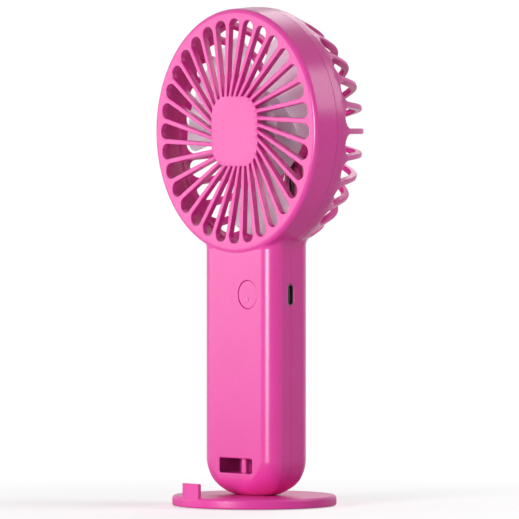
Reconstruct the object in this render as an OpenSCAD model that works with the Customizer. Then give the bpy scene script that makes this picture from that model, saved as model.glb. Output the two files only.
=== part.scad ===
// Handheld electric fan on a round base, a clamshell case with a flat front grille and a domed rear cage.
// The front faces -Y, Z is up, and the origin is at the centre of the base's underside.

/* [Base] */
// Diameter of the round base
base_d = 70; // [62:1:84]
// Thickness of the base
base_t = 4.4; // [3.6:0.1:6]
// Rounding of the base's upper edge
base_edge_r = 1.4; // [0.6:0.1:2]
// Width of the upright tab
tab_w = 11; // [8:0.5:14]
// Height of the tab above the base
tab_h = 5.9; // [4:0.1:8]
// Thickness of the tab
tab_t = 2.1; // [1.4:0.1:2.6]
// Distance of the tab inside the base's edge
tab_inset = 0.2; // [0.1:0.1:1]
// How far the base is turned, with its tab to the left of straight ahead
tab_turn = 3.2; // [0:0.2:8]
// Width of the spigot that locates the handle
spigot_w = 11; // [8:0.5:13]
// Depth of the spigot, front to back
spigot_d = 6; // [4:0.5:7]
// Height of the spigot
spigot_h = 6; // [4:0.5:6.4]
// Diameter of a rubber foot
foot_d = 8; // [6:0.5:10]
// Thickness of a rubber foot
foot_t = 1.4; // [1:0.1:1.8]

/* [Handle] */
// Width of the handle
handle_w = 47; // [44:0.5:56]
// Depth of the handle, front to back
handle_d = 23.6; // [23:0.2:28]
// Distance of the handle's axis behind the base's centre
handle_y = 1; // [0.6:0.1:1.6]
// Rounding of the handle's upright edges
handle_edge_r = 6.8; // [5:0.2:8]
// Rounding of the lower corners, seen from the front
handle_corner_r = 15; // [12:0.5:16]
// Rounding of the lower edge, seen from the side
handle_toe_r = 7; // [5:0.5:8]
// Wall of both shells
wall = 1.8; // [1.5:0.1:2]

/* [Head] */
// Outer diameter of the head
head_d = 105.8; // [96:0.2:126]
// Height of the head's axis above the base
head_rise = 154.8; // [150:0.2:175]
// How much smaller the head's radius is at the front than at the parting plane
head_draft = 0.8; // [0:0.1:1.2]
// How far the grille stands in front of the handle
grille_proud = 0.7; // [0.5:0.1:1.2]
// Rounding of the grille's outer edge
grille_edge_r = 2; // [1:0.2:2.4]
// Thickness of the grille
grille_t = 2.7; // [2:0.1:3.2]
// Wall of the head's side
ring_t = 2.4; // [2.2:0.1:3]
// Width and height of the plain plate in the grille
plate_w = 29.8; // [26:0.2:32]
// Rounding of the plate's corners, seen from the front
plate_r = 9.5; // [6:0.5:12]
// Number of slots in the grille
slot_count = 32; // [24:4:36]
// How far beside the axis the slots' centre lines pass
slot_skew = 6.3; // [0:0.1:7]
// Width of the bars at their inner ends, inside the plate
bar_w_in = 1.6; // [1.2:0.05:1.9]
// Width of the bars where the slots end
bar_w_out = 2.25; // [1.8:0.05:2.8]
// Width of the plain rim outside the slots
rim_w = 5.1; // [4:0.1:7]

/* [Rear cage] */
// Number of ribs
rib_count = 28; // [20:4:32]
// Width of a rib
rib_w = 2.45; // [2:0.05:2.8]
// Thickness of a rib
rib_t = 2.6; // [2.2:0.1:3.2]
// Depth of the solid band behind the parting plane
band_depth = 5.5; // [4:0.5:7]
// Depth of the cage behind the parting plane
cage_depth = 24.6; // [23.6:0.2:30]
// Angle at which the dome leans in before its round shoulder
dome_lean = 22.5; // [16:0.5:26]
// Radius of the dome's round shoulder
dome_r = 9.5; // [7:0.5:11]
// Diameter of the rear hub
hub_d = 31; // [31:0.5:36]

/* [Impeller] */
// Number of blades
blade_count = 3; // [2:1:4]
// Gap between the blades' tips and the head's wall
tip_gap = 5.5; // [4:0.5:8]
// Diameter of the impeller's hub
rotor_hub_d = 40.4; // [36:0.2:44]
// Depth of the impeller
impeller_depth = 14.5; // [12:0.5:15]
// Gap between the grille and the impeller
impeller_gap = 3.3; // [2.5:0.1:4]
// Gap between the impeller's boss and the motor
rotor_gap = 0.9; // [0.5:0.1:2]
// Thickness of a blade
blade_t = 1.2; // [1:0.1:1.8]
// Angle that a blade covers round the axis
blade_sweep = 82; // [60:1:86]
// How far a blade's front edge falls back from its root to its tip
blade_fall = 4.5; // [2:0.5:6]
// Rest position of the first blade
blade_phase = 47; // [0:1:119]

/* [Motor] */
// Diameter of the motor
motor_d = 24.4; // [22:0.1:24.6]
// Length of the motor's steel can
motor_can_l = 9.7; // [9:0.1:11]
// Wall of the motor's can
motor_wall = 0.8; // [0.6:0.1:1]
// Diameter of the motor's shaft
shaft_d = 2; // [1.5:0.1:2.3]
// Thickness of the magnets
magnet_t = 1.7; // [1.4:0.1:2]

/* [Power] */
// Diameter of the battery cell
cell_d = 18.3; // [17:0.1:18.6]
// Length of the battery cell
cell_l = 65; // [60:0.5:66]
// Distance of the cell's axis from the handle's axis
cell_x = 10.6; // [10.2:0.1:10.8]
// Height of the cell's lower end above the base
cell_rise = 26.8; // [26:0.2:28]
// Thickness of the circuit board
board_t = 1.2; // [0.8:0.1:1.6]
// Width of the circuit board
board_w = 19; // [18:0.2:19.6]
// Height of the circuit board
board_h = 42; // [38:0.5:44]

/* [Controls] */
// Diameter of the power button
button_d = 12; // [10:0.2:12.4]
// Distance of the button from the handle's axis
button_x = 7.8; // [7:0.1:9]
// Height of the button and the charging port above the base
control_rise = 85.6; // [82:0.2:88]
// Travel of the power button
button_travel = 0.5; // [0.3:0.1:0.6]
// Length of the charging port's opening
port_l = 9.4; // [9.2:0.1:9.8]
// Width of the charging port's opening
port_w = 3.5; // [3.4:0.05:3.8]
// Distance of the port's mouth inside the handle's side
port_inset = 0.25; // [0.1:0.05:0.6]

/* [Lanyard] */
// Width of the lanyard slot
slot_w = 21; // [17:0.5:24]
// Height of the lanyard slot
slot_h = 6.2; // [5:0.2:7]
// Height of the slot's centre above the base
slot_rise = 12.7; // [12.4:0.1:13.4]
// Depth of the lanyard pocket
pocket_d = 11.8; // [11.4:0.1:12.4]
// Width of the strap bar
strap_bar_w = 3; // [2.4:0.1:4]
// Distance of the strap bar behind the handle's face
strap_bar_in = 4.5; // [4:0.1:4.6]
// Thickness of the strap bar, front to back
strap_bar_t = 2.2; // [1.8:0.1:2.4]

/* [Fits] */
// Gap round a button or a spigot
loose_fit = 0.3; // [0.2:0.05:0.4]
// Gap round a part that is pushed home
snug_fit = 0.1; // [0.05:0.05:0.2]
// Radial gap of a shaft in its bush
running_fit = 0.03; // [0.02:0.01:0.06]
// Gap between the motor's core and its magnets
air_gap = 0.4; // [0.3:0.05:0.5]

/* [Hidden] */
$fn = 64;
eps = 0.01;
far = 300;

pink = [0.95, 0.4, 0.7];
rubber = [0.2, 0.2, 0.22];
steel = [0.7, 0.71, 0.73];
copper = [0.8, 0.45, 0.25];
white = [0.9, 0.88, 0.92];
board_green = [0.1, 0.35, 0.2];
black = [0.08, 0.08, 0.09];

head_r = head_d / 2;
head_z = base_t + head_rise;
ring_in_r = head_r - ring_t;
handle_front = handle_y - handle_d / 2;
handle_back = handle_y + handle_d / 2;
inner_front = handle_front + wall;
inner_back = handle_back - wall;
grille_front = handle_front - grille_proud;
grille_back = grille_front + grille_t;
slot_out_r = head_r - rim_w;
dome_start = band_depth - 1;
lip_t = 1.1;
lip_h = 1.5;

button_z = base_t + control_rise;
slot_z = base_t + slot_rise;
cell_z = base_t + cell_rise;
cell_top = cell_z + cell_l;

port_shell_h = 3.26;
port_shell_w = 8.94;
port_shell_l = 7.35;
port_metal = 0.25;
port_mouth = handle_w / 2 - port_inset;
board_back = -port_shell_h / 2;
board_front = board_back - board_t;
board_x = handle_w / 2 - wall - snug_fit - board_w - 1.1;
board_z = button_z + 8 - board_h;

// Places of the four case screws
screw_x = 15;
screw_low_z = base_t + 21.1;
screw_high_z = head_z - sqrt(head_r * head_r - screw_x * screw_x) - 6.2;
screw_seat = handle_back - 5.8;
screw_l = 10;
screw_r = 1;
screw_head_r = 1.9;
screw_head_h = 1.4;
post_r = 2.7;
board_screw_places = [[board_x + 3.4, board_z + 4], [board_x + board_w - 3.6, board_z + 19]];
board_screw_r = 0.8;
board_post_r = 2.2;

// Switch behind the button
switch_side = 6;
switch_top = board_front - 3.5;
switch_plate = 0.2;
plunger_r = 1.7;
button_flange = 0.9;
button_flange_t = 0.8;
button_back = inner_front + snug_fit + button_flange_t;
plunger_front = button_back + 0.75;
plunger_back = switch_top + 0.7;
window_w = 1;
window_h = 1.9;
window_drop = 2.1;

// Motor stack along Y
plate_front = cage_depth - rib_t;
motor_end_l = 2.6;
terminal_l = 1.3;
motor_back = plate_front - snug_fit - terminal_l;
can_back = motor_back - motor_end_l;
can_front = can_back - motor_can_l;
motor_r = motor_d / 2;
cup_t = 1.6;
cup_front = can_front + 2.6;
retainer_t = 0.8;
shaft_r = shaft_d / 2;
bush_r = 3;
bush_l = 1.8;
core_r = motor_r - motor_wall - magnet_t - air_gap;
core_front = can_front + 2.4;
core_l = 4.4;
commutator_r = 2.4;
impeller_front = grille_back + impeller_gap;
impeller_back = impeller_front + impeller_depth;
impeller_r = ring_in_r - tip_gap;
rotor_hub_r = rotor_hub_d / 2;
rotor_wall = 1.4;
boss_r = 3.2;
boss_back = can_front - snug_fit - retainer_t - rotor_gap;
shaft_front = impeller_front + 1.4;
shaft_back = motor_back - 0.4;

wire_r = 0.65;
strip_t = 0.15;
notch_w = 5;

// ---------- shared shapes ----------

// Turns local +Z into +Y about the head's axis
module on_head_axis(y = 0) translate([0, y, head_z]) rotate([-90, 0, 0]) children();

// Turns local +Z into +Y at a place on the front view
module facing_back(x, y, z) translate([x, y, z]) rotate([-90, 0, 0]) children();

module disc_y(x, y, z, r, l) facing_back(x, y, z) cylinder(r = r, h = l);

module block(low, high) translate(low) cube([for (i = [0:2]) high[i] - low[i]]);

module rounded_rect(w, h, r) {
    square([w - 2 * r, h], center = true);
    square([w, h - 2 * r], center = true);
    for (x = [-1, 1], y = [-1, 1]) translate([x * (w / 2 - r), y * (h / 2 - r)]) circle(r);
}

// Upright outline with round lower corners, its foot on the X axis
module round_footed(w, h, r) {
    translate([r - w / 2, 0]) square([w - 2 * r, h]);
    translate([-w / 2, r]) square([w, h - r]);
    for (x = [-1, 1]) translate([x * (w / 2 - r), r]) circle(r);
}

module stadium(l, w) {
    square([l - w, w], center = true);
    for (x = [-1, 1]) translate([x * (l - w) / 2, 0]) circle(w / 2);
}

// The handle's outside, or its inside when inset by the wall
module handle_solid(inset = 0) {
    w = handle_w - 2 * inset;
    d = handle_d - 2 * inset;
    foot = base_t + inset;
    top = head_z - 30;
    intersection() {
        translate([0, handle_y, 0]) linear_extrude(top) rounded_rect(w, d, handle_edge_r - inset);
        translate([0, handle_y + handle_d, foot]) rotate([90, 0, 0]) linear_extrude(2 * handle_d)
            round_footed(w, far, handle_corner_r - inset);
        translate([-handle_w, handle_y, foot]) rotate([90, 0, 90]) linear_extrude(2 * handle_w)
            round_footed(d, far, handle_toe_r - inset);
    }
}

// Round shoulder of the dome's half profile, which the leaning side meets without a kink
function dome_shoulder(r, depth) =
    let (
        cy = depth - dome_r,
        lean_depth = cy + dome_r * sin(dome_lean) - dome_start,
        cx = r - tan(dome_lean) * lean_depth - dome_r * cos(dome_lean)
    )
    [for (i = [0:8]) let (a = dome_lean + (90 - dome_lean) * i / 8) [cx + dome_r * cos(a), cy + dome_r * sin(a)]];

// The dome behind the parting plane, shrunk by the rib thickness for its inside
module dome_solid(shrink = 0) {
    r = head_r - shrink;
    depth = cage_depth - shrink;
    on_head_axis() rotate_extrude() polygon(concat([[0, 0], [r, 0], [r, dome_start]],
        dome_shoulder(r, depth), [[0, depth]]));
}

// The head's outside in front of the parting plane
module drum_solid() {
    depth = -grille_front;
    front_r = head_r - head_draft;
    on_head_axis(grille_front) rotate_extrude() {
        square([front_r - grille_edge_r, depth]);
        polygon([[0, grille_edge_r], [front_r, grille_edge_r], [head_r, depth], [0, depth]]);
        translate([front_r - grille_edge_r, grille_edge_r]) circle(grille_edge_r);
    }
}

module front_half() intersection() {
    children();
    block([-far, -far, -far], [far, 0, far]);
}

module rear_half() intersection() {
    children();
    block([-far, 0, -far], [far, far, far]);
}

module head_cavity() {
    on_head_axis(grille_back) cylinder(r = ring_in_r, h = -grille_back + eps);
    dome_solid(rib_t);
}

module case_cavity() {
    difference() {
        handle_solid(wall);
        drum_solid();
        dome_solid();
    }
    head_cavity();
}

module at_case_screws() for (x = [-screw_x, screw_x], z = [screw_low_z, screw_high_z])
    translate([x, 0, z]) children();

// ---------- stand ----------

module stand_base() color(pink) difference() {
    union() {
        rotate_extrude() {
            square([base_d / 2 - base_edge_r, base_t]);
            square([base_d / 2, base_t - base_edge_r]);
            translate([base_d / 2 - base_edge_r, base_t - base_edge_r]) circle(base_edge_r);
        }
        rotate(-tab_turn) intersection() {
            block([-tab_w / 2, -base_d, 1], [tab_w / 2, tab_t + tab_inset - base_d / 2, base_t + tab_h]);
            cylinder(r = base_d / 2 - tab_inset, h = far);
        }
        block([-spigot_w / 2, handle_y - spigot_d / 2, base_t - 1],
            [spigot_w / 2, handle_y + spigot_d / 2, base_t + spigot_h]);
    }
    at_feet() translate([0, 0, -1]) cylinder(d = foot_d + 2 * snug_fit, h = 1 + foot_t);
}

module at_feet() for (a = [90, 210, 330]) rotate(a) translate([base_d / 2 - foot_d / 2 - 3, 0, 0]) children();

module stand_feet() color(rubber) at_feet() cylinder(d = foot_d, h = foot_t);

// ---------- case ----------

// One slot of the grille: it starts as a point inside the plate, passes beside the axis and ends round
module grille_slot() {
    widening = tan(180 / slot_count);
    end_r = (slot_out_r * widening - bar_w_out / 2) / (1 + widening);
    end_c = slot_out_r - end_r;
    turn = asin(slot_skew / end_c);
    run = end_c * cos(turn);
    rotate(turn) translate([0, -slot_skew]) linear_extrude(2 * grille_t) {
        polygon([[bar_w_in / 2 / widening, 0], [run, -end_r], [run, end_r]]);
        translate([run, 0]) circle(end_r);
    }
}

module grille_slots() difference() {
    for (i = [0:slot_count - 1]) rotate(i * 360 / slot_count) grille_slot();
    translate([0, 0, -1]) linear_extrude(3 * grille_t) rounded_rect(plate_w, plate_w, plate_r);
}

module front_shell() color(pink) difference() {
    union() {
        difference() {
            front_half() {
                drum_solid();
                handle_solid();
            }
            case_cavity();
            on_head_axis(-lip_h - snug_fit) cylinder(r = ring_in_r + lip_t + snug_fit, h = far);
        }
        intersection() {
            union() {
                block([-slot_w / 2 - wall, handle_front, slot_z - slot_h / 2 - wall],
                    [slot_w / 2 + wall, handle_front + pocket_d + wall, slot_z + slot_h / 2 + wall]);
                front_half() socket_walls();
            }
            handle_solid();
        }
        at_case_screws() disc_y(0, inner_front - eps, 0, post_r, -inner_front + eps);
        for (p = board_screw_places) disc_y(p[0], inner_front - eps, p[1], board_post_r,
            board_front - inner_front + eps);
        disc_y(button_x, inner_front - eps, button_z, button_d / 2 + button_flange + loose_fit + 1.2, 2.4);
    }
    on_head_axis(grille_front - 1) grille_slots();
    difference() {
        block([-slot_w / 2, handle_front - 1, slot_z - slot_h / 2],
            [slot_w / 2, handle_front + pocket_d, slot_z + slot_h / 2]);
        block([-strap_bar_w / 2, handle_front + strap_bar_in, slot_z - slot_h],
            [strap_bar_w / 2, handle_front + strap_bar_in + strap_bar_t, slot_z + slot_h]);
    }
    spigot_socket();
    disc_y(button_x, handle_front - 1, button_z, button_d / 2 + loose_fit, 2 * wall);
    disc_y(button_x, inner_front, button_z, button_d / 2 + button_flange + loose_fit, far);
    port_opening();
    at_case_screws() disc_y(0, screw_seat - screw_l - 1, 0, screw_r, far);
    for (p = board_screw_places) disc_y(p[0], board_front - 5, p[1], board_screw_r, far);
}

module socket_walls() block(
    [-spigot_w / 2 - loose_fit - 1.4, handle_y - spigot_d / 2 - loose_fit - 1.4, base_t],
    [spigot_w / 2 + loose_fit + 1.4, handle_y + spigot_d / 2 + loose_fit + 1.4, slot_z - slot_h / 2 - wall]);

module spigot_socket() block(
    [-spigot_w / 2 - loose_fit, handle_y - spigot_d / 2 - loose_fit, -1],
    [spigot_w / 2 + loose_fit, handle_y + spigot_d / 2 + loose_fit, base_t + spigot_h + loose_fit]);

module port_opening() translate([handle_w / 2 - 2 * wall, 0, button_z]) rotate([0, 90, 0])
    linear_extrude(handle_w) stadium(port_l, port_w);

// The gap between two ribs, from its front end back
module cage_gap(from) {
    half = 180 / rib_count;
    near = hub_d / 2;
    // A gap's side runs parallel to the rib's centre line, half a rib away
    function side(r) = r * tan(half) - rib_w / 2 / cos(half);
    translate([0, 0, from]) linear_extrude(far)
        polygon([[near, -side(near)], [head_d, -side(head_d)], [head_d, side(head_d)], [near, side(near)]]);
}

// Gaps over the handle start behind its back
module cage_gaps() for (i = [0:rib_count - 1]) {
    a = (i + 0.5) * 360 / rib_count;
    over_handle = sin(a) > 0 && abs(cos(a)) * head_r < handle_w / 2 - handle_edge_r + 1;
    on_head_axis() rotate(a) cage_gap(over_handle ? handle_back + 1 : band_depth);
}

module rear_shell() color(pink) difference() {
    union() {
        difference() {
            union() {
                difference() {
                    dome_solid();
                    cage_gaps();
                }
                rear_half() handle_solid();
            }
            case_cavity();
        }
        intersection() {
            rear_half() socket_walls();
            handle_solid();
        }
        on_head_axis(-lip_h) difference() {
            cylinder(r = ring_in_r + lip_t, h = lip_h + eps);
            translate([0, 0, -1]) cylinder(r = ring_in_r, h = far);
        }
        on_head_axis(cup_front) cylinder(r = motor_r + snug_fit + cup_t, h = plate_front - cup_front + eps);
        at_case_screws() disc_y(0, 0, 0, post_r, inner_back + eps);
        // Stops above and below the cell
        for (z = [cell_z - 1.9, cell_top + 0.7])
            block([-cell_x - 5, 3, z], [-cell_x + 5, inner_back + eps, z + 1.2]);
    }
    on_head_axis(cup_front - 1) cylinder(r = motor_r + snug_fit, h = plate_front - cup_front + 1);
    // Way out of the motor's cup for the leads
    block([-notch_w / 2, can_back, head_z - motor_r - 3], [notch_w / 2, plate_front, head_z - motor_r + 2]);
    // Way from the handle into the head for the leads
    block([-notch_w / 2, 0.8, head_z - head_r - 2], [notch_w / 2, band_depth - 0.5, head_z - ring_in_r + 3]);
    block([-slot_w / 2 - wall - loose_fit, -1, slot_z - slot_h / 2 - wall - snug_fit],
        [slot_w / 2 + wall + loose_fit, handle_front + pocket_d + wall + loose_fit,
        slot_z + slot_h / 2 + wall + loose_fit]);
    spigot_socket();
    port_opening();
    at_case_screws() {
        disc_y(0, -1, 0, screw_r + 0.1, far);
        disc_y(0, screw_seat, 0, screw_head_r + 0.2, far);
    }
}

module case_screws() color(steel) at_case_screws() difference() {
    union() {
        disc_y(0, screw_seat, 0, screw_head_r, screw_head_h);
        disc_y(0, screw_seat - screw_l, 0, screw_r - 0.05, screw_l + eps);
    }
    cross_recess(screw_seat + screw_head_h, 2.4);
}

module cross_recess(y, l) for (a = [0, 90]) translate([0, y, 0]) rotate([0, a, 0])
    cube([l, 1.2, 0.5], center = true);

// ---------- button and switch ----------

module power_button() color(pink) difference() {
    union() {
        disc_y(button_x, handle_front, button_z, button_d / 2, button_back - handle_front);
        disc_y(button_x, inner_front + snug_fit, button_z, button_d / 2 + button_flange, button_flange_t);
        disc_y(button_x, button_back - eps, button_z, plunger_r, plunger_front - button_back - 0.05);
    }
    button_window_shape(0.05);
}

module button_window_shape(grow = 0) facing_back(button_x, handle_front - (grow > 0 ? 1 : 0),
    button_z - window_drop) linear_extrude(button_back - handle_front + (grow > 0 ? 2 : 0.3))
    rotate(90) stadium(window_h + 2 * grow, window_w + 2 * grow);

module button_window() color(white) button_window_shape();

module switch_plunger() color(black)
    disc_y(button_x, plunger_front, button_z, plunger_r, plunger_back - plunger_front);

module switch_body() color(black) difference() {
    block([button_x - switch_side / 2, switch_top, button_z - switch_side / 2],
        [button_x + switch_side / 2, board_front, button_z + switch_side / 2]);
    disc_y(button_x, switch_top - 1, button_z, plunger_r + loose_fit, 1.7 + button_travel + 0.1);
}

module switch_cover() color(steel) difference() {
    block([button_x - switch_side / 2, switch_top - switch_plate, button_z - switch_side / 2],
        [button_x + switch_side / 2, switch_top, button_z + switch_side / 2]);
    disc_y(button_x, switch_top - 1, button_z, plunger_r + loose_fit, 2);
}

// ---------- circuit board ----------

// A chip or other block soldered to the back of the board
module on_board(x, z, w, h, t) block([board_x + x, board_back, board_z + z],
    [board_x + x + w, board_back + t, board_z + z + h]);

module status_light() color(white)
    block([button_x - 0.8, board_front - 0.7, button_z - switch_side / 2 - 1.4],
        [button_x + 0.8, board_front, button_z - switch_side / 2 - 0.6]);

module circuit_board() color(board_green) difference() {
    block([board_x, board_front, board_z], [board_x + board_w, board_back, board_z + board_h]);
    for (p = board_screw_places) disc_y(p[0], board_front - 1, p[1], board_screw_r + snug_fit, 4);
}

module board_screws() color(steel) for (p = board_screw_places) difference() {
    union() {
        disc_y(p[0], board_back, p[1], 1.6, 1);
        disc_y(p[0], board_front - 3.6, p[1], board_screw_r - 0.05, board_t + 3.6 + eps);
    }
    translate([p[0], 0, p[1]]) cross_recess(board_back + 1, 2);
}

module charge_chip() color(black) on_board(9.5, 24.5, 5, 4, 1.5);

module driver_chip() color(black) on_board(2.5, 18, 4, 5, 1.5);

module inductor() color([0.25, 0.25, 0.27]) on_board(8.4, 7.4, 6, 6, 3);

module capacitors() color([0.72, 0.6, 0.42]) {
    on_board(2.6, 9.6, 2, 1.25, 1.2);
    on_board(2.6, 12.6, 2, 1.25, 1.2);
    on_board(9.5, 31, 1.25, 2, 1.2);
}

module resistors() color([0.12, 0.12, 0.13]) for (z = [25.5, 27.5, 29.5, 31.5])
    on_board(3, z, 1.6, 0.8, 0.5);

module port_shell() color(steel) translate([port_mouth - port_shell_l, 0, button_z]) rotate([0, 90, 0])
    difference() {
        linear_extrude(port_shell_l) stadium(port_shell_w, port_shell_h);
        translate([0, 0, 1]) linear_extrude(port_shell_l)
            stadium(port_shell_w - 2 * port_metal, port_shell_h - 2 * port_metal);
    }

module port_tongue() color(black)
    block([port_mouth - port_shell_l + 1, -0.35, button_z - 3.35], [port_mouth - 0.9, 0.35, button_z + 3.35]);

module port_contacts() color([0.85, 0.7, 0.35]) for (i = [-5.5:5.5], side = [0.35, -0.43])
    block([port_mouth - 4.6, side, button_z + i * 0.5 - 0.12], [port_mouth - 1.4, side + 0.08, button_z + i * 0.5 + 0.12]);

// ---------- battery ----------

module at_cell(z) translate([-cell_x, handle_y, z]) children();

module battery_cell() color([0.3, 0.65, 0.75]) at_cell(cell_z) cylinder(d = cell_d, h = cell_l);

module battery_insulator() color(white) at_cell(cell_top) difference() {
    cylinder(d = cell_d - 1, h = 0.2);
    translate([0, 0, -1]) cylinder(d = 8, h = 3);
}

module battery_strips() color(steel) {
    at_cell(cell_top) {
        cylinder(d = 6, h = 0.3);
        block([-2.5, 0, 0.3], [10, 5, 0.3 + strip_t]);
    }
    at_cell(cell_z - strip_t) block([-2.5, -3, 0], [10, 3, strip_t]);
}

module battery_pads() color(black) for (z = [cell_z + 12, cell_top - 20])
    block([-cell_x - 6, handle_y + cell_d / 2, z], [-cell_x + 6, inner_back - 0.05, z + 8]);

// A wire through a list of points, as straight rods with round joints
module wire(points) for (i = [0:len(points) - 2]) {
    p = points[i];
    d = points[i + 1] - p;
    translate(p) rotate([0, acos(d[2] / norm(d)), atan2(d[1], d[0])]) cylinder(r = wire_r, h = norm(d), $fn = 8);
    if (i > 0) translate(p) sphere(wire_r, $fn = 8);
}

module battery_lead_red() color("red") {
    x = -cell_x + cell_d / 2 + 1.3;
    wire([[x - 1.2, handle_y + 2.5, cell_top + 1.15], [x + 3, 3, cell_top + 1.15], [x + 4, 2, board_z + board_h - 3],
        [x + 4, board_back + wire_r, board_z + board_h - 8]]);
}

module battery_lead_black() color([0.1, 0.1, 0.1]) {
    x = -cell_x + cell_d / 2 + 1.3;
    under = cell_z - strip_t - wire_r - 0.02;
    wire([[x - 2.6, handle_y, under], [x + 0.9, handle_y, under], [x + 1.5, 3, cell_z + 6],
        [x + 2, 3, board_z + 1], [board_x + 2, board_back + wire_r, board_z + 6]]);
}

// A motor lead from the board, up through the neck and along the lowest rib to the motor
module motor_lead(x) {
    in_y = plate_front - wire_r - 0.15;
    wire([[x + 6, board_back + wire_r, board_z + board_h - 5], [x + 6, board_back + 2.5, board_z + board_h - 1],
        [x, 2.6, head_z - head_r - 4], [x, 3, head_z - ring_in_r + 1.6], [x, impeller_back + 1.7, head_z - ring_in_r + 5],
        [x, in_y, head_z - ring_in_r + 18], [x, in_y, head_z - motor_r + 1.5]]);
}

module motor_lead_red() color("red") motor_lead(1);

module motor_lead_black() color([0.1, 0.1, 0.1]) motor_lead(-1);

// ---------- motor ----------

module ring_y(y, r_out, r_in, l) on_head_axis(y) difference() {
    cylinder(r = r_out, h = l);
    translate([0, 0, -1]) cylinder(r = r_in, h = l + 2);
}

module motor_can() color(steel) difference() {
    on_head_axis(can_front) cylinder(r = motor_r, h = motor_can_l);
    on_head_axis(can_front + motor_wall) cylinder(r = motor_r - motor_wall, h = far);
    on_head_axis(can_front - 1) cylinder(r = bush_r, h = far);
}

module motor_end_cap() color(white) difference() {
    union() {
        on_head_axis(can_back) cylinder(r = motor_r, h = motor_end_l);
        on_head_axis(can_back - 1) cylinder(r = motor_r - motor_wall - snug_fit, h = 1 + eps);
    }
    on_head_axis(can_back - 2) cylinder(r = bush_r, h = far);
    on_head_axis(can_back - 2) cylinder(r = motor_r - motor_wall - 1.5, h = 2.8);
    for (x = [-5, 5]) on_head_axis(can_back) translate([x - 1, 6, -1]) cube([2, 0.6, far]);
}

module motor_magnets() color([0.22, 0.22, 0.24]) for (a = [-60, 120]) on_head_axis(can_front + motor_wall + 0.3)
    rotate(a) rotate_extrude(angle = 120) translate([motor_r - motor_wall - magnet_t, 0])
    square([magnet_t - 0.05, motor_can_l - motor_wall - 1.6]);

module motor_front_bush() color("goldenrod")
    ring_y(can_front - 0.4, bush_r, shaft_r + running_fit, bush_l);

module motor_rear_bush() color("goldenrod")
    ring_y(motor_back - bush_l, bush_r, shaft_r + running_fit, bush_l);

module motor_brushes() color(copper) for (s = [-1, 1]) on_head_axis(can_back + 0.1)
    translate([s * (commutator_r + 0.1 + 0.15) - 0.15, s > 0 ? -1 : -7, -0.4]) cube([0.3, 8, 1.1]);

module motor_terminals() color(copper) for (x = [-5, 5]) on_head_axis(can_back + 0.8)
    translate([x - 0.9, 6.05, 0]) cube([1.8, 0.5, motor_end_l - 0.8 + terminal_l]);

module motor_retainer() color(white) {
    out_r = motor_r + snug_fit + cup_t + 1.2;
    difference() {
        on_head_axis(can_front - retainer_t - snug_fit) cylinder(r = out_r, h = cup_front + 4 - can_front + retainer_t);
        on_head_axis(can_front - snug_fit) cylinder(r = out_r - 1.15, h = far);
        on_head_axis(can_front - 3) cylinder(r = 9, h = far);
    }
}

// ---------- rotor ----------

// Rounding of a blade's tip corners, as a share of the angle that they take off
function tip_corner(v) = v < 0.7 ? 0 : 1 - sqrt(max(0, 1 - pow((v - 0.7) / 0.3, 2)));

// A point on one side of a blade: u runs from its front edge to its rear edge, v from the hub to the tip
function blade_point(u, v, side) =
    let (
        r = rotor_hub_r - 1 + v * (impeller_r - rotor_hub_r + 1),
        lead = 12 * tip_corner(v),
        a = lead + u * (blade_sweep - lead - 8 * tip_corner(v)),
        edge = 1.5 + blade_fall * v,
        z = edge + (impeller_depth - 1 - edge) * a / blade_sweep + side * blade_t / 2
    )
    [r * cos(a), r * sin(a), z];

module blade() {
    nu = 12;
    nv = 10;
    points = [for (side = [1, -1], i = [0:nu], j = [0:nv]) blade_point(i / nu, sin(90 * j / nv), side)];
    n = (nu + 1) * (nv + 1);
    function at(i, j) = i * (nv + 1) + j;
    faces = concat(
        [for (i = [0:nu - 1], j = [0:nv - 1], t = [0, 1]) t == 0
            ? [at(i, j), at(i + 1, j), at(i + 1, j + 1)] : [at(i, j), at(i + 1, j + 1), at(i, j + 1)]],
        [for (i = [0:nu - 1], j = [0:nv - 1], t = [0, 1]) t == 0
            ? [n + at(i, j), n + at(i + 1, j + 1), n + at(i + 1, j)]
            : [n + at(i, j), n + at(i, j + 1), n + at(i + 1, j + 1)]],
        [for (i = [0:nu - 1], j = [0, nv], t = [0, 1]) let (
            q = [at(i, j), at(i + 1, j), n + at(i + 1, j), n + at(i, j)],
            f = t == 0 ? [q[0], q[2], q[1]] : [q[0], q[3], q[2]])
            j == 0 ? f : [f[2], f[1], f[0]]],
        [for (j = [0:nv - 1], i = [0, nu], t = [0, 1]) let (
            q = [at(i, j), at(i, j + 1), n + at(i, j + 1), n + at(i, j)],
            f = t == 0 ? [q[0], q[1], q[2]] : [q[0], q[2], q[3]])
            i == 0 ? f : [f[2], f[1], f[0]]]
    );
    polyhedron(points, faces);
}

module impeller() color(white) on_head_axis(impeller_front) difference() {
    union() {
        difference() {
            cylinder(r = rotor_hub_r, h = impeller_depth);
            translate([0, 0, rotor_wall]) cylinder(r = rotor_hub_r - rotor_wall, h = far);
        }
        cylinder(r = boss_r, h = boss_back - impeller_front);
        for (i = [0:blade_count - 1]) rotate(blade_phase + i * 360 / blade_count) difference() {
            blade();
            translate([0, 0, -1]) cylinder(r = rotor_hub_r - rotor_wall / 2, h = far);
        }
    }
    translate([0, 0, shaft_front - impeller_front - 0.2]) cylinder(r = shaft_r + 0.02, h = far);
}

module motor_shaft() color(steel) on_head_axis(shaft_front) cylinder(r = shaft_r, h = shaft_back - shaft_front);

module rotor_core() color([0.45, 0.45, 0.47]) difference() {
    union() {
        ring_y(core_front, 3.4, shaft_r, core_l);
        for (a = [0:120:240]) on_head_axis(core_front) rotate(a) {
            translate([0, -1.2, 0]) cube([core_r - 0.8, 2.4, core_l]);
            rotate(-46) rotate_extrude(angle = 92) translate([core_r - 1.3, 0]) square([1.3, core_l]);
        }
    }
    on_head_axis(core_front - 1) cylinder(r = shaft_r, h = far);
}

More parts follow.
